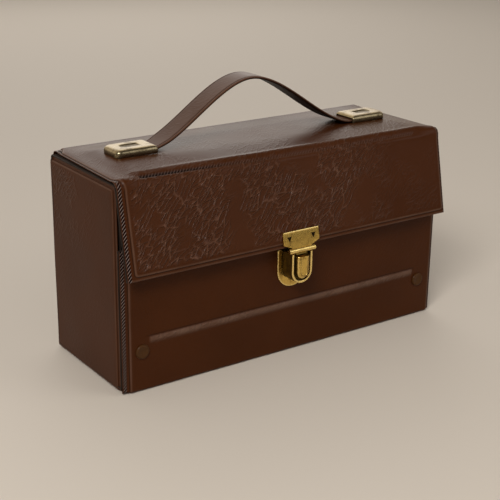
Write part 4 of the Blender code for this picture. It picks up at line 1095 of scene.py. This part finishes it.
bar = round_bar(radius=2.2, half_length=13.15, rounding=0.9)
lip = round_bar(radius=0.75, half_length=HASP_HALF - 0.3, rounding=0.5, steps=14)
tongue = block((-TONGUE_HALF, -HASP_TIP, TONGUE_DEPTH[0]), (TONGUE_HALF, -HASP_BAR + TONGUE_ROOT, TONGUE_DEPTH[1]))
foot_shells = [lay_along_x(bar, -HASP_BAR, BAR_OUT),
               lay_along_x(lip, -HASP_TOP - LIP_DOWN, HASP_FRONT - LIP_SUNK), tongue]
for x in (-HOLE_X, HOLE_X):
    foot_shells.append(block((x - HASP_PRONG_HALF, -HOLE_TOP + HASP_PRONG_UP[0], PRONG_END),
                             (x + HASP_PRONG_HALF, -HOLE_TOP + HASP_PRONG_UP[1], HASP_BACK + PRONG_ROOT)))
    foot_shells.append(straight(triangle(x, PLUG_GROW), HASP_BACK, HASP_FRONT - PLUG_SUNK))
hasp_bar = stand("hasp_bar", foot_shells, FLAP_AXES)
set_grime_and_light_tones(hasp_bar, np.concatenate([np.full(len(shell[0]), tone) for shell, tone in zip(foot_shells, SHELL_TONES)]))
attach(hasp_bar, "flap")
print("bar, lip and tongue faces:", len(hasp_bar.data.polygons))

# %% [markdown]
# ## Rivets and handle caps
#
# Two lacquered rivets, close to the vinyl's colour, hold the tray, low on the front wall. Each end of the strap goes
# into a pressed brass cap with soft corners and a shallow oval in its roof. The cap is hollow and open at its mouth,
# so the strap can slide in it.

# %% Rivets
RIVET_X, RIVET_Z, RIVET_GRIP, RIVET_SIDES = 142.0, 33.97, 6.6, 40
RIVET_FOOT = RIVET_GRIP + 0.6
RIVET_PROFILE = [(0.02, 0.95), (1.6, 0.98), (3.0, 1.12), (4.0, 1.38), (4.6, 1.5), (5.2, 1.38), (5.62, 1.0),
                 (5.86, 0.5), (5.9, 0.12), (5.75, 0.0), (2.4, 0.0), (2.4, -RIVET_GRIP), (4.0, -RIVET_GRIP),
                 (4.0, -RIVET_FOOT), (0.02, -RIVET_FOOT)]
around = np.arange(RIVET_SIDES) * 2 * math.pi / RIVET_SIDES
circle = np.column_stack([np.cos(around), np.sin(around)])
for side_name, side in SIDES:
    levels = [(circle * radius + (side * RIVET_X, RIVET_Z), PLATE_BACK + height) for radius, height in RIVET_PROFILE]
    rivet = stand(f"rivet_{side_name}", [stack(levels)], WALL_AXES, RIVET_LACQUER)
    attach(rivet, "case")
    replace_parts(rivet, f"tray_rivet_{side_name}")
    print(rivet.name, "faces:", len(rivet.data.polygons))

# %% Shape of a handle cap
CAP_HALF, CAP_WIDTH, CAP_BASE, CAP_HEIGHT, CAP_ROUND = 18.5, 12.5, 0.1, 6.2, 3.2
CAP_CORNER, MOUTH_CORNER = 5.0, 1.6
CAP_TOP = CAP_BASE + CAP_HEIGHT
OVAL_HALF = np.array([10.5, 5.4])
OVAL_STEPS = ((1.07, 0.0), (1.02, 0.06), (0.98, 0.2), (0.93, 0.5), (0.86, 0.8), (0.76, 0.95), (0.4, 1.0))


def cap_outline(inset):
    """A cap from above: round corners at its closed end and tight ones at its mouth."""
    turns = [(1, 1, 0, CAP_CORNER), (-1, 1, 1, MOUTH_CORNER), (-1, -1, 2, MOUTH_CORNER), (1, -1, 3, CAP_CORNER)]
    return np.concatenate([round_corner(a * (CAP_HALF - inset - corner), b * (CAP_WIDTH - inset - corner), corner,
                                        q * QUARTER, (q + 1) * QUARTER, 9) for a, b, q, corner in turns])


def cap_shell():
    """A cap with a rounded roof and an oval sunk into it."""
    levels = [(cap_outline(0.25), CAP_BASE), (cap_outline(0.0), CAP_BASE + 0.3)]
    for turn in np.linspace(0, QUARTER, 8):
        inset, drop = CAP_ROUND * (1 - math.cos(turn)), CAP_ROUND * (1 - math.sin(turn))
        levels.append((cap_outline(inset), CAP_TOP - drop))
    flat = cap_outline(CAP_ROUND)
    angle = np.arctan2(flat[:, 1] / OVAL_HALF[1], flat[:, 0] / OVAL_HALF[0])
    oval = np.column_stack([np.cos(angle), np.sin(angle)]) * OVAL_HALF
    return stack(levels + [(oval * grow, CAP_TOP - drop) for grow, drop in OVAL_STEPS])


print("faces of a solid cap:", len(cap_shell()[1]))

# %% Handle caps
HOLLOW_LENGTH, HOLLOW_WIDTH, HOLLOW_ROOF, CAP_CLOSED = 17.5, 11.5, 4.8, 15.0
CAP_MOUTH, CAP_MOUTH_TOP, MOUTH_IN, MOUTH_OUT = 10.8, 4.2, 1, 2
CAP_PRONG_X, CAP_PRONG_Y, CAP_PRONG_TOP = (3.7, 6.3), 12.0, 1.3
OVAL_GRIME, OVAL_EDGE = 0.6, 0.95

cap_hollow = block((-HOLLOW_LENGTH, -HOLLOW_WIDTH, -CUT_ROOM), (CAP_CLOSED, HOLLOW_WIDTH, HOLLOW_ROOF))
cap_mouth = block((-HOLLOW_LENGTH - MOUTH_OUT, -CAP_MOUTH, -CUT_ROOM),
                  (MOUTH_IN - HOLLOW_LENGTH, CAP_MOUTH, CAP_MOUTH_TOP))
cap_prongs = [block((CAP_PRONG_X[0], y - PRONG_HALF, PRONG_END), (CAP_PRONG_X[1], y + PRONG_HALF, CAP_PRONG_TOP))
              for y in (-CAP_PRONG_Y, CAP_PRONG_Y)]
for side_name, side in SIDES:
    seat = TOP_Z + crown_rise(side * CAP_X)
    axes = Matrix(((side, 0, 0, side * CAP_X), (0, side, 0, 0), (0, 0, 1, seat), (0, 0, 0, 1)))
    cap = stand(f"cap_{side_name}", [cap_shell()], axes, PALE_BRASS)
    cut_with(cap, [cap_hollow], axes)
    cut_with(cap, [cap_mouth], axes)
    tabs = stand(f"cap_prongs_{side_name}", cap_prongs, axes, PALE_BRASS)
    places = np.array([point.co for point in cap.data.vertices]) / MM - (side * CAP_X, 0, seat)
    in_oval = np.hypot(places[:, 0] / OVAL_HALF[0], places[:, 1] / OVAL_HALF[1]) < OVAL_EDGE
    set_grime_and_light_tones(cap, OVAL_GRIME * (in_oval & (places[:, 2] > HOLLOW_ROOF + 0.1)))
    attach(cap, "lid")
    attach(tabs, "lid")
    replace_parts(cap, f"handle_cap_{side_name}")
    print(cap.name, "faces:", len(cap.data.polygons))

# %% [markdown]
# ## Inside the case
#
# The boards, the lining, the tray, its dividers and the small steel pieces keep the shape that the CAD gave them,
# since they are plain sheet and moulded work. Each takes its finish and a small rounded edge, which is how a cut or
# moulded edge looks.

# %% Finishes of the inside
SLOT_FINISH = {"grey_board": BOARD, "dark_lining": LINING, "tray_plastic": TRAY_PLASTIC, "spring_steel": STEEL}
SOFT_EDGE, SAME_POINT, SOFT_ANGLE = 0.15 * MM, 0.005 * MM, math.radians(50)
kept = []
for row in frame["record"]["subparts"]:
    piece = NODES[row["node"]]
    if piece.hide_render:
        continue
    piece.data.materials.clear()
    piece.data.materials.append(SLOT_FINISH[row["material_slot"]])
    weld = piece.modifiers.new("weld", "WELD")
    weld.merge_threshold = SAME_POINT
    soften = piece.modifiers.new("soften", "BEVEL")
    soften.width, soften.segments = SOFT_EDGE, 1
    soften.limit_method, soften.angle_limit = "ANGLE", SOFT_ANGLE
    kept.append(piece.name)
print("kept from the CAD:", kept)
